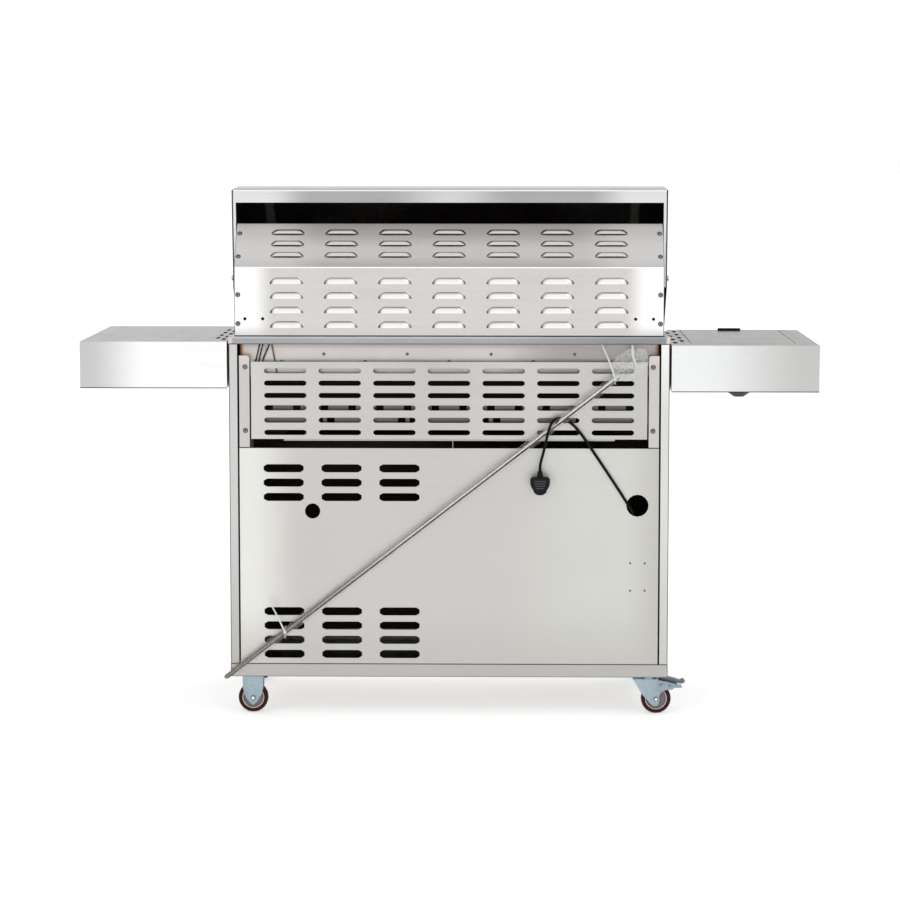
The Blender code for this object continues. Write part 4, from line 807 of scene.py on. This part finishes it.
def louvred_panels():
    height = LOWER_Z[1] - LOWER_Z[0]
    lower = louvred_panel("louvres_lower", height, LOWER_FIRST_ROW - LOWER_Z[0], 4, "louvre")
    holes = [(side * x, 0.995 - LOWER_Z[0]) for side in (-1, 1) for x in (0.46, 0.504)]
    drill(lower, holes, 0.004, "hole_cut")
    lower.location = (0.0, BACK, LOWER_Z[0])
    finish_piece(lower, instead=("rear_louvre_panel",))
    slope = math.hypot(UPPER_RUN, UPPER_RISE)
    tilt = math.atan2(UPPER_RUN, UPPER_RISE)
    upper = louvred_panel("louvres_upper", slope, UPPER_FIRST_ROW, 3, "upper")
    upper.location = (0.0, BACK - 0.0002, LOWER_Z[1] + 0.0006)
    upper.rotation_euler = (tilt, 0.0, 0.0)
    finish_piece(upper, instead=("upper_louvre_panel",))
    spots = [(side * PANEL_SCREW_X, BACK, z) for side in (-1, 1) for z in (1.0545, 0.983)]
    screws("screws_louvres_lower", spots, seed=3)
    outwards = (0.0, math.cos(tilt), math.sin(tilt))
    spots = []
    for side in (-1, 1):
        for along in (0.0325, 0.106):
            depth = BACK - along * math.sin(tilt) + 0.0003
            spots.append((side * PANEL_SCREW_X, depth, LOWER_Z[1] + along * math.cos(tilt)))
    screws("screws_louvres_upper", spots, outwards, seed=4)


louvred_panels()


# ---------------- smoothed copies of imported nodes
def smooth_copy(node, keys, width=0.0006, angle=30.0, pick=None, body="trolley"):
    """A welded copy with smooth shading and broken edges, which stands for the node."""
    source = NODES[node]
    mesh = source.data.copy()
    mesh.materials.clear()
    for key in keys:
        mesh.materials.append(M[key])
    bm = bmesh.new()
    bm.from_mesh(mesh)
    bmesh.ops.remove_doubles(bm, verts=bm.verts, dist=0.00001)
    bmesh.ops.dissolve_limit(bm, angle_limit=math.radians(1.0), verts=bm.verts, edges=bm.edges)
    if pick:
        bm.normal_update()
        for face in bm.faces:
            face.material_index = pick(face)
    bm.to_mesh(mesh)
    bm.free()
    mesh.shade_smooth()
    mesh.set_sharp_from_angle(angle=math.radians(angle))
    obj = new_object(node + "_finished", mesh)
    if width:
        soften(obj, width, 2, angle + 5)
    return finish_piece(obj, body, (node,))


def lid_side(face):
    """1 for the faces inside the lid, 2 for its back, 0 for the rest of its outside."""
    middle = face.calc_center_median()
    heart = Vector((middle.x * 0.5, 0.02, 1.1))
    if face.normal.dot(heart - middle) > 0:
        return 1
    return 2 if face.normal.y > 0.8 else 0


HOLE_WALL = 8e-6             # area of the largest face inside a shelf's air holes


def shelf_side(face):
    """0 for the skirts, 1 for the top, 2 for the unlit inside."""
    middle = face.calc_center_median()
    if face.calc_area() < HOLE_WALL and abs(face.normal.z) < 0.5:
        return 2
    side = math.copysign(1.0, middle.x)
    heart = Vector((side * 0.7318, -0.006, 0.8))
    if face.normal.z > 0.9 and middle.z > 0.92:
        return 1
    return 2 if face.normal.dot(heart - middle) > 0 else 0


def shaded_hems():
    """The folded lower edges of the side shelves, as strips in the shadow colour: painted shade under the
    fold.
    """
    bm = bmesh.new()
    for side in ("left", "right"):
        low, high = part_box("side_shelf_" + side)
        box(bm, (low[0], high[1] - 0.0016, low[2] - 0.0006), (high[0], high[1] + 0.0003, low[2] + 0.0017))
    solid("shelf_hems_painted_shadow", bm, ["shadow"], edge=(0.0003, 2))


smooth_copy("lid_shell", ["lid", "hood_shade", "lid_back"], pick=lid_side, body="lid")
smooth_copy("side_shelf_left", ["skirt", "shelf_top", "shadow"], pick=shelf_side)
smooth_copy("side_shelf_right", ["skirt", "shelf_top", "shadow"], pick=shelf_side)
shaded_hems()


# ---------------- casters
def wheel_finish(node, body, axle):
    """A polyurethane tyre with a pale ring, on a dished grey hub with a boss."""
    centre = middle_of(node)
    outer = centre.z
    tread = [(0.0274, -0.0104), (0.0292, -0.0113), (0.0345, -0.0113), (outer - 0.0013, -0.0098),
             (outer, -0.006)]
    tyre = tread + [(radius, -height) for radius, height in reversed(tread)]
    ring = [(0.0258, 0.0104), (0.0252, 0.009)]
    hub = [(0.0235, 0.007), (0.015, 0.0066), (0.0128, 0.0076), (0.012, 0.0112), (0.0044, 0.0112)]
    half = ring + hub
    back = [(radius, -height) for radius, height in reversed(half)]
    profile = tyre + half + back + tyre[:1]
    indices = [0] * 9 + [1, 1] + [2] * 12 + [1, 1]
    bm = bmesh.new()
    lathe(bm, profile, 72, aim(axle, centre), indices=indices)
    solid(node + "_finished", bm, ["tyre", "cream", "hub"], body, (node,), smooth=28)


BOLT = ((0.0, 0.0), (1.3, 0.0), (1.3, 0.16), (1.0, 0.18), (0.97, 0.5), (0.8, 0.72), (0.45, 0.8),
        (0.4, 0.66), (0.0, 0.66))      # a washer and a domed head with a dimple, in the head's radius


def bolt_heads(name, ends, radius, body, cap="chrome"):
    """Domed bolt heads on washers, at (place, direction); the washers' dark grey is painted shade round each
    head.
    """
    bm = bmesh.new()
    for place, direction in ends:
        profile = [(radius * reach, radius * height) for reach, height in BOLT]
        lathe(bm, profile, 28, aim(direction, place), indices=[1, 1, 1] + [0] * 5)
    solid(name, bm, [cap, "grey"], body, smooth=30)


CHEEK_FACE = 0.018          # outer face of a fork's cheek, from the wheel's middle
RIVETS = ((0.0117, 0.0745), (0.0338, 0.0715))      # beyond the axle, and above the ground


def wheel_and_bolts(node, body, axle, carrier, bolts, radius):
    """A finished wheel, and the heads of its axle's bolt on the fork that carries it."""
    wheel_finish(node, body, axle)
    centre = middle_of(node)
    ends = [(centre + axle * side * CHEEK_FACE, axle * side) for side in (-1, 1)]
    bolt_heads(bolts, ends, radius, carrier)
    return centre


def casters():
    up = Vector((0, 0, 1))
    for end, trail in (("rear", Vector((-1, 0, 0))), ("front", Vector((0, -1, 0)))):
        node = "fixed_wheel_" + end
        wheel_and_bolts(node, node + "_body", Vector((0, 1, 0)), "trolley", "fixed_bolts_" + end, 0.005)
        axle = trail.cross(up)
        fork = f"swivel_{end}_fork_body"
        centre = wheel_and_bolts("swivel_wheel_" + end, f"swivel_{end}_wheel_body", axle, fork,
                                 "swivel_bolts_" + end, 0.0046)
        ends = []
        for side in (-1, 1):
            for along, height in RIVETS:
                place = centre + trail * along + axle * side * CHEEK_FACE
                place.z = height
                ends.append((place, axle * side))
        bolt_heads("swivel_rivets_" + end, ends, 0.0024, fork, "zinc")


casters()


# ---------------- screws of the cabinet and the hood
def small_screws():
    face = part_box("shield_bracket_left")[1][1]
    screws("screws_brackets", [(side * 0.5045, face, z) for side in (-1, 1) for z in (0.876, 0.718)], seed=5)
    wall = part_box("firebox")[1][1]
    spots = [(side * x, wall, 0.906) for side in (-1, 1) for x in (0.104, 0.311)]
    screws("screws_firebox_upper", spots, scale=0.62, seed=6)
    spots = [(x, wall, 0.8865) for x in (-0.416, -0.2085, 0.0, 0.2085, 0.416)]
    screws("screws_firebox_lower", spots, scale=0.8, seed=7)
    spots = [(x, BACK, z) for x in (-0.4504, -0.4865) for z in (0.3876, 0.3189)]
    screws("rivets_power_supply", spots, scale=0.42, seed=8)


LID_PIVOT = (BACK - 0.13, 1.09)


def pivot_bolts():
    """The two bolts that the lid turns on."""
    bm = bmesh.new()
    for side in (-1, 1):
        place = (side * 0.5424, *LID_PIVOT)
        profile = [(0.0, 0.0), (0.0105, 0.0), (0.0105, 0.0014), (0.0078, 0.0016), (0.0076, 0.0046),
                   (0.006, 0.0054), (0.0, 0.0054)]
        lathe(bm, profile, 6, aim((side, 0, 0), place))
    solid("lid_pivot_bolts", bm, ["chrome"], "lid", edge=(0.0004, 2))


small_screws()
pivot_bolts()


# ---------------- the cook's side
KNOB_STEPS = ((1.0, 0.0, 0.0), (1.0, 0.14, 0.0), (0.96, 0.2, 0.0), (0.78, 0.3, 0.4), (0.74, 0.42, 1.0),
              (0.7, 0.86, 1.0), (0.66, 0.96, 0.7), (0.58, 1.0, 0.0))   # shares of radius, depth, fluting


def knob_finish(node, body):
    """A fluted knob with a skirt and a white pointer, over a chrome bezel on the panel."""
    low, high = corners_of(node)
    centre = (low + high) / 2
    reach = (high.x - low.x) / 2
    depth = high.y - low.y
    base = Vector((centre.x, high.y, centre.z))
    sides = 72
    bm = bmesh.new()
    rings = []
    for share, height, flute in KNOB_STEPS:
        ring = []
        for i in range(sides):
            angle = 2 * math.pi * i / sides
            radius = reach * share * (1 - 0.045 * flute * max(0.0, math.cos(angle * 12)))
            ring.append(bm.verts.new(base + Vector((radius * math.cos(angle), -depth * height,
                                                    radius * math.sin(angle)))))
        rings.append(ring)
    for lower, upper in zip(rings, rings[1:]):
        for i in range(sides):
            bm.faces.new((lower[i - 1], lower[i], upper[i], upper[i - 1]))
    bm.faces.new(rings[0])
    bm.faces.new(rings[-1])
    solid(node + "_finished", bm, ["black"], body, (node,), smooth=35)
    bm = bmesh.new()
    box(bm, base + Vector((-0.0009, -depth - 0.0003, reach * 0.12)),
        base + Vector((0.0009, 0.0004 - depth, reach * 0.56)))
    solid(node + "_pointer", bm, ["nylon"], body, edge=(0.0002, 2))


def bezels(nodes):
    bm = bmesh.new()
    for node in nodes:
        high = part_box(node)[1]
        centre = middle_of(node)
        profile = [(0.024, 0.0), (0.0295, 0.0), (0.029, 0.0012), (0.0262, 0.0026), (0.0246, 0.0022),
                   (0.024, 0.0)]
        lathe(bm, profile, 56, aim((0, -1, 0), (centre.x, high[1] + 0.001, centre.z)))
    solid("knob_bezels", bm, ["chrome"], smooth=35)


def thermometer():
    """A chromed case with a white dial, unlabelled ticks and a needle."""
    low, high = corners_of("thermometer")
    lean = math.atan2(0.006, 1.09 - 0.956)
    outwards = Vector((0.0, -math.cos(lean), math.sin(lean)))
    centre = middle_of("thermometer") - outwards * 0.005
    place = aim(outwards, centre)
    bm = bmesh.new()
    case = [(0.0, 0.0), (0.034, 0.0), (0.036, 0.003), (0.0358, 0.0075), (0.034, 0.0098), (0.0318, 0.0098),
            (0.0306, 0.0082), (0.0306, 0.007), (0.0, 0.007)]
    lathe(bm, case, 72, place, indices=[0] * 7 + [1])
    for i in range(21):
        angle = math.radians(-130 + 13 * i)
        tick = box(bm, (-0.0004, 0.0245 if i % 5 else 0.022, 0.0069), (0.0004, 0.0285, 0.0073), 2)
        bmesh.ops.transform(bm, matrix=place @ Matrix.Rotation(-angle, 4, "Z"), verts=tick)
    needle = box(bm, (-0.0007, -0.007, 0.008), (0.0007, 0.0225, 0.0086), 3)
    bmesh.ops.transform(bm, matrix=place @ Matrix.Rotation(math.radians(130), 4, "Z"), verts=needle)
    lathe(bm, [(0.0, 0.0068), (0.003, 0.0068), (0.003, 0.0088), (0.0, 0.0094)], 20, place, 3)
    solid("thermometer_finished", bm, ["chrome", "dial", "mark", "red"], "lid", ("thermometer",),
          smooth=30)


def bend(corner, before, after, reach, steps=4):
    """Points round a corner of a bent bar, from one leg to the next."""
    start = corner + (before - corner).normalized() * reach
    end = corner + (after - corner).normalized() * reach
    points = []
    for i in range(steps + 1):
        t = i / steps
        points.append(start * (1 - t) ** 2 + corner * 2 * t * (1 - t) + end * t ** 2)
    return points


def bar_handle(node, body, turns, radius, reach, shares, lift):
    """A round bar bent at the two inner of four points, with a collar on each foot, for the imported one."""
    a, b, c, d = turns
    points = [a, a.lerp(b, 0.3)] + bend(b, a, c, reach) + [b.lerp(c, share) for share in shares]
    points += bend(c, b, d, reach) + [d.lerp(c, 0.3), d]
    bar = tube(node + "_bar", points, radius, "polished", 6, resolution=10)
    finish_piece(bar, body, (node,))
    bm = bmesh.new()
    collar = [(0.0, 0.0), (radius * 1.55, 0.0), (radius * 1.55, 0.0012), (radius * 1.25, 0.0034),
              (radius * 1.02, 0.004), (0.0, 0.004)]
    for foot in (a, d):
        lathe(bm, collar, 40, aim((0, -1, 0), foot - Vector((0, lift, 0))))
    solid(node + "_collars", bm, ["chrome"], body, smooth=30)


def handles():
    """The lid's handle runs along x, the doors' along z."""
    for node, body, run, reach, shares, lift in (
            ("lid_handle", "lid", 0, 0.02, (0.25, 0.5, 0.75), 0.0005),
            ("door_handle_left", "left_door", 2, 0.012, (0.3, 0.7), 0.0),
            ("door_handle_right", "right_door", 2, 0.012, (0.3, 0.7), 0.0)):
        low, high = corners_of(node)
        radius = (high[2 - run] - low[2 - run]) / 2
        turns = []
        for place, depths in ((low[run] + radius, (high.y, low.y + radius)),
                              (high[run] - radius, (low.y + radius, high.y))):
            for depth in depths:
                turn = (low + high) / 2
                turn[run] = place
                turn.y = depth
                turns.append(turn)
        bar_handle(node, body, turns, radius, reach, shares, lift)


KNOBS = [("knob_side_burner", "side_burner_knob"), ("knob_rear_burner", "rear_burner_knob")]
KNOBS += [(f"knob_{i}", f"burner_knob_{i}") for i in range(1, 6)]
for knob_node, knob_body in KNOBS:
    knob_finish(knob_node, knob_body)
bezels([knob_node for knob_node, knob_body in KNOBS])
thermometer()
handles()


# ---------------- burners
def burners():
    for i in range(1, 6):
        smooth_copy(f"burner_{i}", ["inner"], 0.0, 40)
    smooth_copy("gas_manifold", ["steel"], 0.0, 40)
    smooth_copy("side_burner", ["iron"], 0.0, 40)
    centre = middle_of("side_burner")
    bm = bmesh.new()
    ring = [(0.05, 0.896), (0.056, 0.896), (0.056, 0.901), (0.05, 0.901), (0.05, 0.896)]
    place = Matrix.Translation((centre.x, centre.y, 0.0))
    lathe(bm, ring, 64, place)
    for i in range(4):
        arm = box(bm, (0.024, -0.0028, 0.8965), (0.102, 0.0028, 0.9035))
        turn = Matrix.Rotation(math.pi / 4 + math.pi / 2 * i, 4, "Z")
        bmesh.ops.transform(bm, matrix=place @ turn, verts=arm)
    solid("side_burner_trivet", bm, ["iron"], smooth=40, edge=(0.0008, 2))
    bm = bmesh.new()
    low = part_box("side_burner_lid")[0]
    outline = rounded(-0.731, low[1] + 0.006, 0.03, 0.005, 0.0045)
    prism(bm, outline, 0.9306, 0.937, "Z")
    solid("side_lid_pull", bm, ["black"], "side_lid", smooth=40, edge=(0.0012, 3))


burners()


# ---------------- the tied spit
SPIT_LOW = Vector((0.5594, BACK + 0.016, 0.098))
SPIT_HIGH = Vector((-0.419, BACK + 0.0321, 0.8569))
TIES = (("lower", 0.4075, (0.04, 0.0095, 0.083)),     # name, x, and how far the tail's end is from the head
        ("upper", -0.409, (0.0335, 0.006, 0.086)))


def on_spit(x):
    return SPIT_LOW.lerp(SPIT_HIGH, (x - SPIT_LOW.x) / (SPIT_HIGH.x - SPIT_LOW.x))


def strap(bm, points, widths, thick, across, index=0):
    """A flat tapered strap through the points; across is the direction of its width."""
    rings = []
    for i, point in enumerate(points):
        ahead = points[min(i + 1, len(points) - 1)] - points[max(i - 1, 0)]
        side = (across - ahead * (across.dot(ahead) / ahead.length_squared)).normalized()
        out = ahead.cross(side).normalized()
        w, t = side * widths[i] / 2, out * thick / 2
        around = (w + t, w * 0.86 + t * 1.5, w * -0.86 + t * 1.5, t - w, -w - t, w - t)
        rings.append([bm.verts.new(point + a) for a in around])
    for lower, upper in zip(rings, rings[1:]):
        for i in range(6):
            bm.faces.new((lower[i - 1], lower[i], upper[i], upper[i - 1])).material_index = index
    bm.faces.new(rings[0])
    bm.faces.new(rings[-1])


def ties():
    """The head and the free end of each cable tie."""
    for name, x, reach in TIES:
        dress("cable_tie_" + name, "clear", 0.0003)
        low, high = corners_of("cable_tie_" + name)
        head = Vector((x, high.y + 0.0014, on_spit(x).z + 0.0008))
        bm = bmesh.new()
        box(bm, head - Vector((0.0038, 0.0026, 0.0032)), head + Vector((0.0038, 0.0026, 0.0032)))
        solid(f"cable_tie_{name}_head", bm, ["nylon"], edge=(0.0009, 3))
        bm = bmesh.new()
        end = head + Vector(reach)
        points, widths = [], []
        for i in range(17):
            t = i / 16
            point = head.lerp(end, t) + Vector((-0.0022, 0.0045, 0.0)) * math.sin(math.pi * t)
            points.append(point)
            widths.append(0.0044 - 0.0012 * t - (0.0014 if i > 14 else 0.0))
        strap(bm, points, widths, 0.0011, Vector((1.0, 0.0, -0.45)))
        solid(f"cable_tie_{name}_tail", bm, ["nylon"], smooth=45)


def sleeve():
    """A loose clear sleeve round the spit, drawn in where the ties hold it."""
    along = (SPIT_HIGH - SPIT_LOW).normalized()
    length = (SPIT_HIGH - SPIT_LOW).length
    back = (Vector((0, 1, 0)) - along * along.y).normalized()
    across = along.cross(back)
    held = [(on_spit(x) - SPIT_LOW).length for name, x, reach in TIES]
    stations, around = 150, 24
    bm = bmesh.new()
    rings = []
    area = 0.0
    for i in range(stations + 1):
        distance = 0.035 + (length - 0.047) * i / stations
        middle_line = SPIT_LOW + along * distance
        pinch = min(1.0, min(abs(distance - place) for place in held) / 0.03)
        pinch = pinch * pinch * (3 - 2 * pinch)
        ring = []
        for j in range(around):
            angle = 2 * math.pi * j / around
            u, v = math.cos(angle), math.sin(angle)
            ripple = noise.noise(Vector((distance * 22.0, u * 1.3, v * 1.3)))
            ripple += 0.5 * noise.noise(Vector((distance * 75.0, u * 2.0 + 7.0, v * 2.0)))
            wide = 0.007 + pinch * (0.0046 + 0.0016 * ripple)
            deep = 0.00675 + pinch * (0.0011 + 0.0007 * ripple)
            ring.append(bm.verts.new(middle_line + across * wide * u + back * deep * v))
        rings.append(ring)
    for lower, upper in zip(rings, rings[1:]):
        for j in range(around):
            face = bm.faces.new((lower[j - 1], lower[j], upper[j], upper[j - 1]))
            area += face.calc_area()
    piece = solid("spit_sleeve", bm, ["film"], smooth=60)


FAN_CLEAR = 0.0062          # how far the fan keeps out of the way of a spit that is drawn out


def film_fan():
    """The sleeve's free end, bunched by the upper tie and spread out beyond it, and a loose strip."""
    apex = on_spit(TIES[1][1]) + Vector((0.0, 0.0085, 0.0))
    edge = ((-8, 0.03), (12, 0.05), (27, 0.092), (45, 0.104), (62, 0.086), (82, 0.06), (104, 0.04))
    bm = bmesh.new()
    columns, rows = 60, 22
    grid = []
    area = 0.0
    for i in range(columns + 1):
        angle = edge[0][0] + (edge[-1][0] - edge[0][0]) * i / columns
        for (a, near), (b, far) in zip(edge, edge[1:]):
            if a <= angle <= b:
                share = (angle - a) / (b - a)
                reach = near + (far - near) * share * share * (3 - 2 * share)
        turn = math.radians(angle)
        line = []
        for j in range(rows + 1):
            r = 0.004 + (reach - 0.004) * j / rows
            place = Vector((-r * math.cos(turn), 0.0, r * math.sin(turn)))
            fold = noise.noise(Vector((turn * 5.0, r * 16.0, 3.0))) * 0.55
            fold += noise.noise(Vector((turn * 13.0, r * 45.0, 9.0))) * 0.35
            place.y = FAN_CLEAR * min(1.0, r / 0.03) + min(0.005, 0.14 * r) * fold
            line.append(bm.verts.new(apex + place))
        grid.append(line)
    for left, right in zip(grid, grid[1:]):
        for j in range(rows):
            area += bm.faces.new((left[j], right[j], right[j + 1], left[j + 1])).calc_area()
    fan = solid("spit_sleeve_end", bm, ["bunched"], smooth=75)
    bm = bmesh.new()
    start, end = Vector((-0.453, BACK - 0.004, 0.931)), Vector((-0.464, BACK + 0.0075, 0.878))
    points = []
    for i in range(13):
        points.append(start.lerp(end, i / 12) + Vector((0.004, 0.0, 0.0)) * math.sin(math.pi * i / 12))
    strap(bm, points, [0.0058] * 12 + [0.003], 0.0006, Vector((1.0, 0.0, 0.2)))
    strip = solid("film_strip", bm, ["nylon"], smooth=45)


# ---------------- igniter wires behind the rail
WIRE_WIDTH = 0.0031
WIRE_BEND = 0.0065
WIRES = (("black_a", "black", 0.4694, 0.4801), ("black_b", "black", 0.4618, 0.4725),
         ("white", "white_wire", 0.4525, 0.4664), ("black_c", "black", 0.445, 0.4633),
         ("brown", "copper", 0.4403, 0.4327))


def wires():
    """Five wires that leave the firebox wall behind the rail and go back in behind the shield."""
    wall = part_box("firebox")[1][1] + 0.0006
    top, bottom = 0.94, 0.86
    for name, key, high_x, low_x in WIRES:
        path = []
        for i in range(6):
            angle = math.pi / 2 * i / 5
            path.append((wall + WIRE_BEND * math.sin(angle), top - WIRE_BEND * (1 - math.cos(angle))))
        for i in range(1, 8):
            share = i / 8
            path.append((wall + WIRE_BEND + 0.001 * math.sin(math.pi * share),
                         top - WIRE_BEND - (top - bottom - 2 * WIRE_BEND) * share))
        path += [(depth, top + bottom - z) for depth, z in reversed(path[:6])]
        points = []
        for depth, z in path:
            points.append(Vector((high_x + (low_x - high_x) * (0.9322 - z) / 0.0437, depth, z)))
        wire = tube("igniter_wire_" + name, points, WIRE_WIDTH / 2, key, 3)
        finish_piece(wire)


ties()
sleeve()
film_fan()
wires()


# ---------------- floor and light
def floor():
    bm = bmesh.new()
    corners = [bm.verts.new((x, y, 0.0)) for x, y in ((-90, -90), (90, -90), (90, 90), (-90, 90))]
    bm.faces.new(corners)
    shader = Shader("floor_pale", roughness=0.9, emission_strength=0.5)
    grain = shader.noise(3.0, 3.0)
    pale = shader.ramp(grain, (0.3, (0.9, 0.9, 0.9)), (0.7, (0.93, 0.93, 0.93)))
    shader.link(pale, "Base Color")
    shader.link(pale, "Emission Color")
    to_object("floor", bm, [shader.material])


def softbox(name, place, target, size, power, colour=(1.0, 1.0, 1.0)):
    data = bpy.data.lights.new(name, "AREA")
    data.shape = "RECTANGLE"
    data.size, data.size_y = size
    data.energy = power
    data.color = colour
    light = bpy.data.objects.new(name, data)
    bpy.context.scene.collection.objects.link(light)
    light.location = place
    light.rotation_euler = (Vector(target) - Vector(place)).to_track_quat("-Z", "Y").to_euler()


def studio():
    """A white room with darker side walls and ceiling, so that edges are drawn by what they reflect."""
    world = bpy.data.worlds.new("studio")
    world.use_nodes = True
    bpy.context.scene.world = world
    nodes = Nodes(world.node_tree)
    background = nodes.tree.nodes["Background"]
    where = nodes.add("ShaderNodeTexCoord").outputs["Generated"]
    parts = nodes.add("ShaderNodeSeparateXYZ", Vector=where)
    levels = []
    for axis, first, last, low in (("X", 0.45, 0.95, 0.16), ("Z", 0.25, 0.98, 0.8)):
        size = nodes.math("ABSOLUTE", parts.outputs[axis])
        levels.append(nodes.span(size, first, last, 1.0, low, smooth=True))
    nodes.plug(nodes.math("MULTIPLY", *levels), background.inputs["Color"])
    background.inputs["Strength"].default_value = 1.0


floor()
studio()
softbox("key", (-3.0, 5.5, 5.0), (0, 0.3, 0.6), (4.0, 3.0), 45)
softbox("fill", (4.0, 4.5, 4.0), (0, 0.3, 0.6), (4.0, 3.0), 25)
